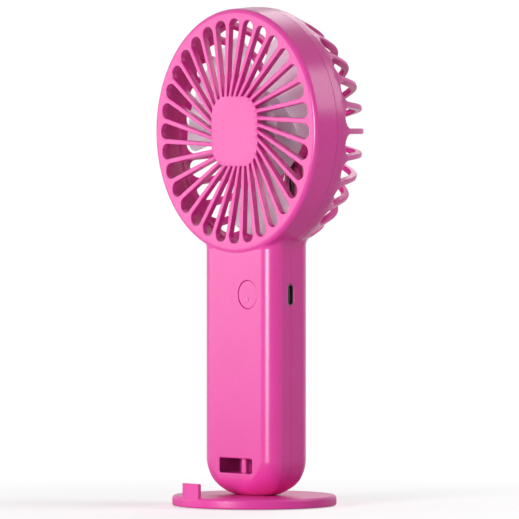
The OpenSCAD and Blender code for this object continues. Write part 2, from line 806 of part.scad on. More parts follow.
module rotor_windings() color(copper) for (a = [0:120:240]) on_head_axis(core_front - 0.8) rotate(a)
    difference() {
        translate([3.7, -2.9, 0]) cube([core_r - 5.8, 5.8, core_l + 1.6]);
        translate([3, -1.25, 0.75]) cube([core_r, 2.5, core_l + 0.1]);
    }

module commutator() color(copper) {
    front = core_front + core_l + 0.3;
    ring_y(front, commutator_r, shaft_r, can_back + 0.6 - front);
}

stand_base();
stand_feet();
front_shell();
rear_shell();
case_screws();
power_button();
button_window();
switch_plunger();
switch_body();
switch_cover();
status_light();
circuit_board();
board_screws();
charge_chip();
driver_chip();
inductor();
capacitors();
resistors();
port_shell();
port_tongue();
port_contacts();
battery_cell();
battery_insulator();
battery_strips();
battery_pads();
battery_lead_red();
battery_lead_black();
motor_lead_red();
motor_lead_black();
motor_can();
motor_end_cap();
motor_magnets();
motor_front_bush();
motor_rear_bush();
motor_brushes();
motor_terminals();
motor_retainer();
impeller();
motor_shaft();
rotor_core();
rotor_windings();
commutator();
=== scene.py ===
"""A pink handheld electric fan with a slotted round grille, standing on its round base."""
import math

import bpy
from mathutils import Matrix, Vector


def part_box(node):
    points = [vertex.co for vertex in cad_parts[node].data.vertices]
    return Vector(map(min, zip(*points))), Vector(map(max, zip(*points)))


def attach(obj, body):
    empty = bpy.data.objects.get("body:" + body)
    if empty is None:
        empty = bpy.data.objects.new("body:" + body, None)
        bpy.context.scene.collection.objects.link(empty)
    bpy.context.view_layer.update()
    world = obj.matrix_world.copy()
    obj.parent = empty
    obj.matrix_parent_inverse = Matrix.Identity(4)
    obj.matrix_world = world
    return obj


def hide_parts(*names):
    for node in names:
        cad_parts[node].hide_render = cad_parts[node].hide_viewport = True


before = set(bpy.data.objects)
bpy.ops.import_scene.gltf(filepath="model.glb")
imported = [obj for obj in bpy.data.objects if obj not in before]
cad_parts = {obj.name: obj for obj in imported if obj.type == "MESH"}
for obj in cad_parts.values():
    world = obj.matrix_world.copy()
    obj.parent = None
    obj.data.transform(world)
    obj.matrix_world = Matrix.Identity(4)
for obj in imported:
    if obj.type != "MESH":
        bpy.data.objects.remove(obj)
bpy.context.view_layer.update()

# ---------- studio ----------
# The fan stands on white paper, seen from its front right at the height of its head. Soft lamps stand at
# the front left and the back right, a tall one in front draws the line of light down the handle's corner,
# and a weak one high behind keeps the back from going dark.
rear_low, rear_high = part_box("rear_shell")
head_r = (rear_high.x - rear_low.x) / 2
head_z = rear_high.z - head_r

view_turn = math.radians(48.7)
view_distance = 2.64
view_width = 0.2209
aim_beside = 0.0022
aim_height = 0.1046
view_right = Vector((math.cos(view_turn), math.sin(view_turn), 0.0))
view_ahead = Vector((-math.sin(view_turn), math.cos(view_turn), 0.0))
target = aim_beside * view_right + Vector((0.0, 0.0, aim_height))
eye = aim_beside * view_right - view_distance * view_ahead + Vector((0.0, 0.0, head_z))

camera_data = bpy.data.cameras.new("camera")
camera_data.sensor_width = 36.0
camera_data.lens = camera_data.sensor_width * view_distance / view_width
camera = bpy.data.objects.new("camera", camera_data)
camera.location = eye
camera.rotation_euler = (target - eye).to_track_quat("-Z", "Y").to_euler()
bpy.context.scene.collection.objects.link(camera)
bpy.context.scene.camera = camera
bpy.context.scene.view_settings.view_transform = "Standard"


def soft_lamp(name, place, aim_z, size, power):
    """A soft box of this width and height that faces the fan's axis at one height."""
    data = bpy.data.lights.new(name, "AREA")
    data.shape = "RECTANGLE"
    data.size, data.size_y = size
    data.energy = power
    lamp = bpy.data.objects.new(name, data)
    lamp.location = place
    lamp.rotation_euler = (Vector((0.0, 0.0, aim_z)) - Vector(place)).to_track_quat("-Z", "Y").to_euler()
    bpy.context.scene.collection.objects.link(lamp)


soft_lamp("front_left_lamp", (-1.05, -0.92, 0.15), 0.15, (0.9, 0.30), 2.7)
soft_lamp("front_strip", (0.18, -1.28, 0.22), 0.12, (0.36, 0.42), 12.2)
soft_lamp("right_lamp", (0.51, 0.445, 0.54), 0.12, (0.42, 0.42), 2.3)
soft_lamp("back_lamp", (-0.52, 0.89, 0.99), 0.12, (0.6, 0.6), 2.4)


def ray_kind(tree, *kinds):
    """A socket that is 1 for a ray of any of these kinds, and 0 for the rest."""
    path = tree.nodes.new("ShaderNodeLightPath")
    found = path.outputs[kinds[0]]
    for kind in kinds[1:]:
        either = tree.nodes.new("ShaderNodeMath")
        either.operation = "MAXIMUM"
        tree.links.new(found, either.inputs[0])
        tree.links.new(path.outputs[kind], either.inputs[1])
        found = either.outputs[0]
    return found


def mixed(tree, share, first, second):
    """Two shaders mixed by a share socket."""
    mix = tree.nodes.new("ShaderNodeMixShader")
    for source, socket in zip((share, first, second), mix.inputs):
        tree.links.new(source, socket)
    return mix.outputs[0]


# the paper takes the fan's shadow near it, and further off it is plain white, in gloss and through clear
# things too
paper_white = 0.86
paper_glow = 0.53
paper_near, paper_far = 0.06, 0.22
paper = bpy.data.materials.new("white_paper")
paper.use_nodes = True
paper_tree = paper.node_tree
paper_tree.nodes.clear()
matt = paper_tree.nodes.new("ShaderNodeBsdfDiffuse")
matt.inputs["Color"].default_value = (paper_white, paper_white, paper_white, 1.0)
glow = paper_tree.nodes.new("ShaderNodeEmission")
glow.inputs["Strength"].default_value = paper_glow
lifted = paper_tree.nodes.new("ShaderNodeAddShader")
paper_tree.links.new(matt.outputs[0], lifted.inputs[0])
paper_tree.links.new(glow.outputs[0], lifted.inputs[1])
near_paper = mixed(paper_tree, ray_kind(paper_tree, "Is Camera Ray"), matt.outputs[0], lifted.outputs[0])
paper_place = paper_tree.nodes.new("ShaderNodeTexCoord")
distance = paper_tree.nodes.new("ShaderNodeVectorMath")
distance.operation = "LENGTH"
paper_tree.links.new(paper_place.outputs["Object"], distance.inputs[0])
fade = paper_tree.nodes.new("ShaderNodeMapRange")
fade.inputs["From Min"].default_value = paper_near
fade.inputs["From Max"].default_value = paper_far
paper_tree.links.new(distance.outputs["Value"], fade.inputs["Value"])
share = paper_tree.nodes.new("ShaderNodeMath")
share.operation = "MULTIPLY"
seen_rays = ("Is Camera Ray", "Is Transmission Ray", "Is Glossy Ray")
paper_tree.links.new(fade.outputs["Result"], share.inputs[0])
paper_tree.links.new(ray_kind(paper_tree, *seen_rays), share.inputs[1])
plain_white = paper_tree.nodes.new("ShaderNodeEmission")
paper_out = paper_tree.nodes.new("ShaderNodeOutputMaterial")
whole_paper = mixed(paper_tree, share.outputs[0], near_paper, plain_white.outputs[0])
paper_tree.links.new(whole_paper, paper_out.inputs["Surface"])
bpy.ops.mesh.primitive_plane_add(size=8.0, location=(0.0, 0.0, -0.0003))
floor = bpy.context.object
floor.name = "paper_floor"
floor.data.materials.append(paper)

# the room gives a little light from all round, and it too is seen as white
room_light = 0.08
world = bpy.data.worlds.new("studio")
bpy.context.scene.world = world
world.use_nodes = True
room_tree = world.node_tree
room = room_tree.nodes["Background"]
room.inputs["Color"].default_value = (1.0, 1.0, 1.0, 1.0)
room.inputs["Strength"].default_value = room_light
sky = room_tree.nodes.new("ShaderNodeBackground")
sky.inputs["Color"].default_value = (1.0, 1.0, 1.0, 1.0)
whole_room = mixed(room_tree, ray_kind(room_tree, *seen_rays), room.outputs[0], sky.outputs[0])
room_tree.links.new(whole_room, room_tree.nodes["World Output"].inputs["Surface"])

# ---------- front shell ----------
# The front half of the case, moulded in one piece: the slotted grille, the head's side and the handle's
# face. It is satin pink polypropylene, 1.8 mm thick, with every edge broken by the mould's small radii,
# and it meets the rear half in a fine seam with a stepped lip.
front_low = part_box("front_shell")[0]
grille_front = front_low.y
base_top = front_low.z
seam = 0.00013
wall = 0.0018
handle_w = 0.047
handle_y = 0.001
handle_half_d = 0.0118
handle_front = handle_y - handle_half_d
handle_back = handle_y + handle_half_d
plan_r = 0.0082
plan_end = 75.0
foot_corner_r = 0.0152
foot_toe_r = 0.0071
head_draft = 0.0008
grille_edge_r = 0.002
grille_t = 0.0027
grille_back = grille_front + grille_t
head_in_r = head_r - 0.0024
lip_r = head_in_r + 0.0012
lip_depth = 0.0016
front_r = head_r - head_draft


def mesh_object(name, points, faces):
    """A new piece from points and faces."""
    mesh = bpy.data.meshes.new(name)
    mesh.from_pydata([tuple(p) for p in points], [], faces)
    piece = bpy.data.objects.new(name, mesh)
    bpy.context.scene.collection.objects.link(piece)
    return piece


def edit(piece):
    """Opens one piece for mesh work, with all of it selected."""
    bpy.ops.object.select_all(action="DESELECT")
    piece.select_set(True)
    bpy.context.view_layer.objects.active = piece
    bpy.ops.object.mode_set(mode="EDIT")
    bpy.ops.mesh.select_all(action="SELECT")


def leave_edit():
    """Ends the mesh work that edit began."""
    bpy.ops.object.mode_set(mode="OBJECT")


def weld(piece, near=1e-6):
    """Merges points that meet, and turns every face outwards."""
    edit(piece)
    bpy.ops.mesh.remove_doubles(threshold=near)
    bpy.ops.mesh.normals_make_consistent(inside=False)
    leave_edit()


def turned(name, profile, steps=192, about=None):
    """A closed skin turned about the head's axis, or another (x, z), from (radius, depth) points."""
    x, z = about or (0.0, head_z)
    piece = mesh_object(name, [(x + r, y, z) for r, y in profile], [])
    piece.data.edges.add(len(profile) - 1)
    for i, edge in enumerate(piece.data.edges):
        edge.vertices = (i, i + 1)
    edit(piece)
    bpy.ops.mesh.spin(steps=steps, angle=math.tau, center=(x, 0.0, z), axis=(0.0, 1.0, 0.0))
    leave_edit()
    weld(piece)
    return piece


def ring_faces(first, n, count):
    """Faces between count rings of n points each, the first ring starting at point first."""
    return [(first + i * n + j, first + i * n + (j + 1) % n, first + (i + 1) * n + (j + 1) % n,
             first + (i + 1) * n + j) for i in range(count - 1) for j in range(n)]


def lofted(name, rings):
    """A closed skin through rings of points, flat at both ends."""
    n = len(rings[0])
    points = [p for ring in rings for p in ring]
    faces = ring_faces(0, n, len(rings))
    faces += [tuple(range(n)), tuple(range(len(points) - n, len(points)))]
    piece = mesh_object(name, points, faces)
    weld(piece, 1e-7)
    return piece


def combined(piece, tool, how):
    """Joins or cuts a piece with a tool shape, which is used up."""
    change = piece.modifiers.new("shape", "BOOLEAN")
    change.operation = how
    change.object = tool
    change.solver = "EXACT"
    bpy.ops.object.select_all(action="DESELECT")
    piece.select_set(True)
    bpy.context.view_layer.objects.active = piece
    bpy.ops.object.modifier_apply(modifier=change.name)
    bpy.data.objects.remove(tool)
    return piece


def smooth(piece, angle=32.0, crease=None):
    """Smooth shading that keeps flat faces flat, and any edge for which crease is true sharp."""
    bpy.ops.object.select_all(action="DESELECT")
    piece.select_set(True)
    bpy.context.view_layer.objects.active = piece
    bpy.ops.object.shade_smooth_by_angle(angle=math.radians(angle))
    if crease:
        points = [v.co.copy() for v in piece.data.vertices]
        for edge in piece.data.edges:
            if crease(points[edge.vertices[0]], points[edge.vertices[1]]):
                edge.use_edge_sharp = True
    steady = piece.modifiers.new("steady", "WEIGHTED_NORMAL")
    steady.keep_sharp = True
    steady.weight = 100
    bpy.ops.object.modifier_apply(modifier=steady.name)


def arc(cx, cy, r, start, end, steps):
    """Points along an arc, from one angle to another in degrees."""
    return [(cx + r * math.cos(a), cy + r * math.sin(a))
            for a in (math.radians(start + (end - start) * i / steps) for i in range(steps + 1))]


def quarter_in(r, h):
    """How far a corner of radius r has drawn in at height h above its foot."""
    return 0.0 if h >= r else r - math.sqrt(r * r - (r - h) ** 2)


spread_across, spread_deep = 0.0085, 0.003


def half_outline(half_w, half_d, side, corner_r, spread=0.0):
    """The handle's plan in front of (-1) or behind (1) the parting plane. A soft crease ends each corner.
    spread widens the corners, as they are at the foot."""
    depth = side * handle_y + half_d
    rx = min(corner_r + spread_across * spread, half_w - 0.0002)
    ry = min(corner_r + spread_deep * spread, depth - 0.0004)
    end = math.radians(plan_end)
    right = [(half_w - seam, 0.0), (half_w, seam)]
    right += [(half_w - rx * (math.sin(end) - c), depth - ry * (1.0 - s))
              for c, s in arc(0.0, 0.0, 1.0, 90.0 - plan_end, 90.0, 12)]
    left = [(-x, y) for x, y in reversed(right)]
    return [(x, side * y) for x, y in right + left]


def handle_half(name, side, inset=0.0, top=None):
    """Half of the handle's outside, or of its hollow when inset by the wall."""
    rings = []
    foot = base_top + inset
    corner_r, toe_r = foot_corner_r - inset, foot_toe_r - inset
    heights = [corner_r * (1.0 - math.cos(math.radians(a))) for a in range(0, 91, 6)]
    heights += [head_z - 0.034 - foot]
    for h in heights:
        half_w = handle_w / 2 - inset - quarter_in(corner_r, h)
        half_d = handle_half_d - inset - quarter_in(toe_r, h)
        spread = max(0.0, 1.0 - h / corner_r) ** 1.5
        outline = half_outline(half_w, half_d, side, plan_r - inset, spread)
        if inset:
            outline[0] = (outline[0][0] + seam, -side * 0.001)
            outline[-1] = (outline[-1][0] - seam, -side * 0.001)
        rings.append([(x, y, foot + h) for x, y in outline])
    return lofted(name, rings)


def front_radius(y):
    """The head's outer radius at a depth in front of the parting plane."""
    rise = y - grille_front
    if rise < grille_edge_r:
        return front_r - grille_edge_r + math.sqrt(grille_edge_r ** 2 - (grille_edge_r - rise) ** 2)
    return front_r + head_draft * (rise - grille_edge_r) / (-grille_front - grille_edge_r)


def neck_bead(name, side, radius_at, reach_ends, reach_flat):
    """The small hollow radius where the handle runs into the head."""
    rings = []
    outline = half_outline(handle_w / 2, handle_half_d, side, plan_r)[1:-1]
    outline = [(handle_w / 2, 0.0)] + outline + [(-handle_w / 2, 0.0)]
    for i, (x, y) in enumerate(outline):
        before, after = outline[max(i - 1, 0)], outline[min(i + 1, len(outline) - 1)]
        along = Vector((after[0] - before[0], after[1] - before[1])).normalized()
        out = Vector((along.y, -along.x)) * (1 if side > 0 else -1)
        if out.x * x < 0:
            out = -out
        share = out.x ** 2
        a = reach_flat[0] + (reach_ends[0] - reach_flat[0]) * share
        b = reach_flat[1] + (reach_ends[1] - reach_flat[1]) * share
        if i in (0, len(outline) - 1):
            out = Vector((math.copysign(1.0, x), 0.0))
        x0, y0 = x + out.x * a, y + out.y * a
        corner = Vector((x, y, head_z - math.sqrt(radius_at(y) ** 2 - x * x)))
        high = Vector((x0, y0, head_z - math.sqrt(radius_at(y0) ** 2 - x0 * x0)))
        low = corner - Vector((0.0, 0.0, b))
        ring = [high * (1 - t) ** 2 + corner * 2 * t * (1 - t) + low * t * t
                for t in (step / 6 for step in range(7))]
        inward = Vector((-out.x, -out.y, 0.0)) * 0.0009
        ring += [low + inward, corner + inward + Vector((0, 0, 0.0012)), high + Vector((0, 0, 0.001))]
        rings.append(ring)
    return lofted(name, rings)


# the drum: grille plate and side, turned, with a step inside for the rear shell's lip
drum_profile = [(0.0, grille_front), (0.0125, grille_front), (0.0489, grille_front)]
drum_profile += arc(front_r - grille_edge_r, grille_front + grille_edge_r, grille_edge_r, -90.0, -5.0, 8)
drum_profile += [(head_r, -seam), (head_r - seam, 0.0), (lip_r, 0.0), (lip_r, -lip_depth)]
drum_profile += [(head_in_r, -lip_depth), (head_in_r, grille_back + 0.0006)]
drum_profile += [(head_in_r - 0.0006, grille_back), (0.0, grille_back)]
front_casing = turned("front_casing", drum_profile)

# the slots: each passes beside the axis, starts at the plate's outline and ends round
slot_count = 32
slot_skew = 0.0063
slot_out_r = 0.0478
bar_in, bar_out = 0.0016, 0.00225
plate_half, plate_corner = 0.0149, 0.0095
slot_edge_r, slot_back_r = 0.00032, 0.00025


def plate_reach(angle):
    """The plate's radius in a direction, as a square with round corners."""
    c, s = abs(math.cos(angle)), abs(math.sin(angle))
    flat = plate_half / max(c, s)
    core = plate_half - plate_corner
    b = core * (c + s)
    d = b * b - 2 * core * core + plate_corner ** 2
    if min(c, s) * flat <= core or d < 0:
        return flat
    return b + math.sqrt(d)


def slot_outline(turn):
    """One slot's outline about the head's axis, turned to its place. The bars keep their width outward."""
    widening = math.tan(math.pi / slot_count)
    end_r = (slot_out_r * widening - bar_out / 2) / (1 + widening)
    end_c = slot_out_r - end_r
    lean = math.asin(slot_skew / end_c)
    run = end_c * math.cos(lean)
    tip = bar_in / 2 / widening
    spin = Matrix.Rotation(turn + lean, 2)

    def place(t, off):
        return spin @ Vector((t, off - slot_skew))

    def meets_plate(side):
        low, high = tip, run
        for _ in range(40):
            t = (low + high) / 2
            p = place(t, side * end_r * (t - tip) / (run - tip))
            if p.length < plate_reach(math.atan2(p.y, p.x)):
                low = t
            else:
                high = t
        return place(low, side * end_r * (low - tip) / (run - tip))

    first, last = meets_plate(-1.0), meets_plate(1.0)
    a, b = math.atan2(first.y, first.x), math.atan2(last.y, last.x)
    b = a + (b - a + math.pi) % math.tau - math.pi
    inner = []
    for i in range(1, 3):
        angle = b + (a - b) * i / 3
        reach = plate_reach(angle)
        inner.append(Vector((reach * math.cos(angle), reach * math.sin(angle))))
    taper = math.degrees(math.atan2(end_r, run - tip))
    outer = [place(run + x, y) for x, y in arc(0.0, 0.0, end_r, -90.0 + taper, 90.0 - taper, 12)]
    return [first] + outer + [last] + inner


def widened(outline, by):
    """An outline moved outwards all round by the same amount."""
    n = len(outline)
    moved = []
    for i, p in enumerate(outline):
        d0 = (p - outline[i - 1]).normalized()
        d1 = (outline[(i + 1) % n] - p).normalized()
        n0, n1 = Vector((d0.y, -d0.x)), Vector((d1.y, -d1.x))
        half = n0 + n1
        moved.append(p + half * (2 * by / max(half.length_squared, 0.5)))
    return moved


def hole_cutter(outline, low, high, edge_r, edge_back):
    """Rings of a cutter whose two ends flare, so that the hole gets round edges."""
    bends = [(1 - math.sin(math.radians(a)), 1 - math.cos(math.radians(a))) for a in (0.0, 30.0, 60.0, 90.0)]
    rings = [(edge_r, low - 0.001)]
    rings += [(edge_r * aside, low + edge_r * down) for aside, down in bends]
    rings += [(edge_back * aside, high - edge_back * down) for aside, down in reversed(bends)]
    rings += [(edge_back, high + 0.001)]
    return [(widened(outline, by), depth) for by, depth in rings]


slot_points, slot_faces = [], []
for k in range(slot_count):
    outline = slot_outline(math.tau * k / slot_count)
    rings = hole_cutter(outline, grille_front, grille_back, slot_edge_r, slot_back_r)
    n = len(rings[0][0])
    first = len(slot_points)
    for outline, depth in rings:
        slot_points += [(p.x, depth, head_z - p.y) for p in outline]
    slot_faces += ring_faces(first, n, len(rings))
    slot_faces += [tuple(range(first, first + n)), tuple(range(len(slot_points) - n, len(slot_points)))]
slot_tool = mesh_object("slot_tool", slot_points, slot_faces)
weld(slot_tool, 1e-7)
combined(front_casing, slot_tool, "DIFFERENCE")


def block(name, low, high, round_r=0.0, steps=3):
    """A block between two corners, its edges rounded."""
    bpy.ops.mesh.primitive_cube_add(size=1.0, location=[(a + b) / 2 for a, b in zip(low, high)])
    piece = bpy.context.object
    piece.name = name
    piece.scale = [b - a for a, b in zip(low, high)]
    bpy.ops.object.transform_apply(location=True, rotation=True, scale=True)
    if round_r:
        edge = piece.modifiers.new("edge", "BEVEL")
        edge.width = round_r
        edge.segments = steps
        bpy.ops.object.modifier_apply(modifier=edge.name)
    return piece


def rod(name, x, z, r, low, high, steps=48):
    """A plain rod from front to back."""
    bpy.ops.mesh.primitive_cylinder_add(radius=r, depth=high - low, vertices=steps,
                                        location=(x, (low + high) / 2, z), rotation=(math.pi / 2, 0, 0))
    piece = bpy.context.object
    piece.name = name
    bpy.ops.object.transform_apply(location=True, rotation=True, scale=True)
    return piece


def flared_cutter(name, outline, low, high, edge_r, to_world):
    """A cutter for a hole with a round front edge."""
    rings = hole_cutter([Vector(p) for p in outline], low, high, edge_r, edge_r)[:6]
    rings.append((rings[-1][0], high))
    return lofted(name, [[to_world(p, depth) for p in ring] for ring, depth in rings])


def rounded_rect(half_w, half_h, r, steps=6):
    """A rectangle's outline with round corners."""
    x, y = half_w - r, half_h - r
    return (arc(x, y, r, 0, 90, steps) + arc(-x, y, r, 90, 180, steps)
            + arc(-x, -y, r, 180, 270, steps) + arc(x, -y, r, 270, 360, steps))


button_low, button_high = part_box("power_button")
button_x = (button_low.x + button_high.x) / 2
button_z = (button_low.z + button_high.z) / 2
button_r = 0.006
button_gap = 0.00014
slot_half_w, slot_half_h, slot_z = 0.0105, 0.0031, 0.0171
slot_corner_r, slot_lip_r = 0.0009, 0.0005
pocket_d = 0.0118
bar_half_w, bar_half_h, bar_r = 0.0015, 0.006, 0.0007
bar_front, bar_back = 0.0045, 0.0067
spigot_half = (0.0058, 0.0033)
spigot_deep = 0.0063
socket_half_w = 0.0072
socket_top = slot_z - slot_half_h - wall + 0.0003
screw_x = 0.015
post_r, pilot_r = 0.0027, 0.001
screw_zs = (base_top + 0.0211, head_z - math.sqrt(head_r ** 2 - screw_x ** 2) - 0.0062)


def lanyard_pocket():
    """The box behind the lanyard slot, which both shells share."""
    return block("pocket_walls", (-slot_half_w - wall, handle_front + 0.0006, slot_z - slot_half_h - wall),
                 (slot_half_w + wall, handle_front + pocket_d + wall, slot_z + slot_half_h + wall))


def head_core(name, shrink, eye_r=0.0):
    """What the handle leaves free for the head: inside the drum's wall, and eye_r inside the grille's rim."""
    r, rim_r = head_r - shrink, eye_r or head_r - shrink
    profile = [(0.0, grille_front - 0.002), (rim_r, grille_front - 0.002), (rim_r, grille_back - 0.0003)]
    profile += [(r, grille_back - 0.0002), (r, 0.003), (0.0, 0.003)]
    return turned(name, profile, 96)


face = handle_half("handle_face", -1)
hollow = handle_half("handle_hollow", -1, wall)
combined(hollow, head_core("hollow_top", -0.0002), "DIFFERENCE")
combined(face, hollow, "DIFFERENCE")
combined(face, head_core("face_top", 0.0013, 0.0496), "DIFFERENCE")
combined(face, lanyard_pocket(), "UNION")
combined(face, block("socket_walls", (-socket_half_w, -0.0037, base_top + 0.0006),
                     (socket_half_w, 0.0, socket_top)), "UNION")
for x in (-screw_x, screw_x):
    for z in screw_zs:
        combined(face, rod("screw_post", x, z, post_r, handle_front + wall / 2, 0.0), "UNION")
combined(face, rod("button_ring", button_x, button_z, button_r + 0.0024,
                   handle_front + wall / 2, handle_front + 0.0042), "UNION")
combined(face, neck_bead("neck_bead", -1, front_radius, (0.0028, 0.0034), (0.0005, 0.0012)), "UNION")

slot_shape = rounded_rect(slot_half_w, slot_half_h, slot_corner_r)
pocket = flared_cutter("pocket_hollow", slot_shape, handle_front, handle_front + pocket_d, slot_lip_r,
                       lambda p, d: (p.x, d, slot_z + p.y))
strap_bar = block("strap_bar", (-bar_half_w, handle_front + bar_front, slot_z - bar_half_h),
                  (bar_half_w, handle_front + bar_back, slot_z + bar_half_h), bar_r)
combined(pocket, strap_bar, "DIFFERENCE")
combined(face, pocket, "DIFFERENCE")
round_hole = arc(0.0, 0.0, button_r + button_gap, 0.0, 360.0, 64)[:-1]
combined(face, flared_cutter("button_hole", round_hole, handle_front, handle_front + 0.003, 0.00012,
                             lambda p, d: (button_x + p.x, d, button_z + p.y)), "DIFFERENCE")
combined(face, rod("button_room", button_x, button_z, button_r + 0.0012, handle_front + wall, 0.001),
         "DIFFERENCE")


def spigot_room():
    """The socket in the handle's foot, which both shells share."""
    return block("spigot_room", (-spigot_half[0], handle_y - spigot_half[1], base_top - 0.002),
                 (spigot_half[0], handle_y + spigot_half[1], base_top + spigot_deep))


combined(face, spigot_room(), "DIFFERENCE")
for x in (-screw_x, screw_x):
    for z in screw_zs:
        combined(face, rod("screw_hole", x, z, pilot_r, handle_front + 0.0048, 0.001, 24), "DIFFERENCE")


def port_opening():
    """The charging port's round-ended opening in the handle's side."""
    half_l, half_w = 0.0047, 0.00175
    outline = arc(0.0, half_l - half_w, half_w, 0.0, 180.0, 12)
    outline += arc(0.0, half_w - half_l, half_w, 180.0, 360.0, 12)
    return flared_cutter("port_opening", outline, -handle_w / 2, -handle_w / 2 + 0.004, 0.00022,
                         lambda p, d: (-d, p.x, button_z + p.y))


combined(face, port_opening(), "DIFFERENCE")
combined(front_casing, face, "UNION")


def side_crease(a, b):
    """The line down each side of the handle where the round corner meets the flat side."""
    flat = handle_half_d - plan_r * (1.0 - math.cos(math.radians(plan_end)))
    return all(abs(abs(p.y - handle_y) - flat) < 0.00002 and abs(p.x) > handle_w / 2 - 0.00003
               and p.z > base_top + foot_corner_r - 0.001 for p in (a, b))


def finish(name, colour, other, sizes, rough, bump=0.0, metal=0.0, drawn=(1.0, 1.0, 1.0)):
    """A finish in two close colours that blend in soft patches, with a fine grain in its gloss and surface.
    sizes are the patches and the grain per metre, rough is the range of roughness, and drawn stretches the
    grain, as brushing or rolling does."""
    material = bpy.data.materials.new(name)
    material.use_nodes = True
    nodes, links = material.node_tree.nodes, material.node_tree.links
    face = nodes["Principled BSDF"]
    face.inputs["Metallic"].default_value = metal
    place = nodes.new("ShaderNodeTexCoord")
    stretch = nodes.new("ShaderNodeMapping")
    stretch.inputs["Scale"].default_value = drawn
    links.new(place.outputs["Object"], stretch.inputs["Vector"])
    patches = nodes.new("ShaderNodeTexNoise")
    patches.inputs["Scale"].default_value = sizes[0]
    patches.inputs["Detail"].default_value = 4.0
    links.new(stretch.outputs["Vector"], patches.inputs["Vector"])
    shades = nodes.new("ShaderNodeValToRGB")
    shades.color_ramp.elements[0].position = 0.35
    shades.color_ramp.elements[0].color = (*other, 1.0)
    shades.color_ramp.elements[1].position = 0.65
    shades.color_ramp.elements[1].color = (*colour, 1.0)
    links.new(patches.outputs["Fac"], shades.inputs["Fac"])
    links.new(shades.outputs["Color"], face.inputs["Base Color"])
    grain = nodes.new("ShaderNodeTexNoise")
    grain.inputs["Scale"].default_value = sizes[1]
    grain.inputs["Detail"].default_value = 2.0
    links.new(stretch.outputs["Vector"], grain.inputs["Vector"])
    gloss = nodes.new("ShaderNodeMapRange")
    gloss.inputs["From Min"].default_value = 0.3
    gloss.inputs["From Max"].default_value = 0.7
    gloss.inputs["To Min"].default_value = rough[0]
    gloss.inputs["To Max"].default_value = rough[1]
    links.new(grain.outputs["Fac"], gloss.inputs["Value"])
    links.new(gloss.outputs["Result"], face.inputs["Roughness"])
    if bump:
        relief = nodes.new("ShaderNodeBump")
        relief.inputs["Strength"].default_value = bump
        relief.inputs["Distance"].default_value = 0.00005
        links.new(grain.outputs["Fac"], relief.inputs["Height"])
        links.new(relief.outputs["Normal"], face.inputs["Normal"])
    return material


def dress(material, *pieces):
    """Gives new pieces, or CAD nodes by name, one finish all over."""
    for piece in pieces:
        data = (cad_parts[piece] if isinstance(piece, str) else piece).data
        data.materials.clear()
        data.materials.append(material)


pink = finish("satin_pink", (0.82, 0.050, 0.385), (0.79, 0.046, 0.365), (45.0, 2600.0), (0.22, 0.28), 0.05)
smooth(front_casing, 32.0, side_crease)
dress(pink, front_casing)
# the walls of the lanyard pocket get a duller, rougher finish, and their darker colour is painted shade deep
# in the recess
pocket_painted_shade = finish("pocket_painted_shade", (0.34, 0.010, 0.16), (0.27, 0.007, 0.12), (300.0, 4200.0), (0.5, 0.62), 0.3)
front_casing.data.materials.append(pocket_painted_shade)
# the pocket's walls beside the strap bar take the painted shade
for panel in front_casing.data.polygons:
    middle = panel.center
    beside_bar = abs(middle.x) > 0.0018 or middle.y > handle_front + 0.008
    if (abs(middle.x) < slot_half_w + 0.0001 and abs(middle.z - slot_z) < slot_half_h + 0.0001
            and handle_front + 0.0006 < middle.y < handle_front + pocket_d + 0.0001 and beside_bar):
        panel.material_index = 1
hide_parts("front_shell")
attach(front_casing, "fan_body")

# ---------- rear shell ----------
# The back half of the case, one moulding in the same pink: a smooth band that closes the drum, a domed
# cage of 28 round-edged ribs, and the handle's back with four screw holes and the motor's cup inside.
rib_count = 28
rib_half = 0.001225
hub_t = 0.0026
rib_t = 0.0031
rib_edge = 0.00068
cage_depth = rear_high.y
band_y = 0.0055
shoulder_r = 0.0095
hub_r, hub_disc_r = 0.0155, 0.0132
gap_corner = 0.0042

# the dome's profile: a straight band, a small bend, a slightly bowed side and a round shoulder
shoulder_x, shoulder_y = head_r - 0.0145, cage_depth - shoulder_r
bow_r, bend_r = 0.078, 0.009
lean_front, lean_back = 17.0, 28.0
bow_x = shoulder_x - (bow_r - shoulder_r) * math.cos(math.radians(lean_back))
bow_y = shoulder_y - (bow_r - shoulder_r) * math.sin(math.radians(lean_back))
bend_y = bow_y + (bow_r - bend_r) * math.sin(math.radians(lean_front))
dome_profile = [Vector((head_r, y)) for y in (0.0, 0.0016, 0.0026)]
dome_profile += [Vector((x, y)) for x, y in arc(head_r - bend_r, bend_y, bend_r, 0.0, lean_front, 6)]
dome_profile += [Vector((x, y)) for x, y in arc(bow_x, bow_y, bow_r, lean_front, lean_back, 10)[1:]]
dome_profile += [Vector((x, y)) for x, y in arc(shoulder_x, shoulder_y, shoulder_r, lean_back, 90.0, 40)[1:]]
dome_profile += [Vector((0.0, cage_depth))]
dome_length = [0.0]
for a, b in zip(dome_profile, dome_profile[1:]):
    dome_length.append(dome_length[-1] + (b - a).length)


def on_dome(s):
    """Radius and depth on the dome at a distance along its profile, and the way out of the surface."""
    s = min(max(s, 0.0), dome_length[-1])
    i = max(k for k in range(len(dome_length) - 1) if dome_length[k] <= s)
    a, b = dome_profile[i], dome_profile[i + 1]
    before = dome_profile[max(i - 1, 0)]
    after = dome_profile[min(i + 2, len(dome_profile) - 1)]
    t = (s - dome_length[i]) / (dome_length[i + 1] - dome_length[i])
    start = (b - before).normalized()
    end = (after - a).normalized()
    along = ((1 - t) * start + t * end).normalized()
    return a + (b - a) * t, Vector((along.y, -along.x))


def dome_place(y):
    """The distance along the dome's profile at a depth behind the parting plane."""
    return next(dome_length[i] + (y - a.y) / (b.y - a.y) * (b - a).length
                for i, (a, b) in enumerate(zip(dome_profile, dome_profile[1:])) if b.y >= y and b.y > a.y)


def rib_depth(s):
    """The ribs are deepest at the side and thin out to the hub."""
    share = min(max((s - 0.033) / 0.018, 0.0), 1.0)
    return rib_t + (hub_t - rib_t) * share


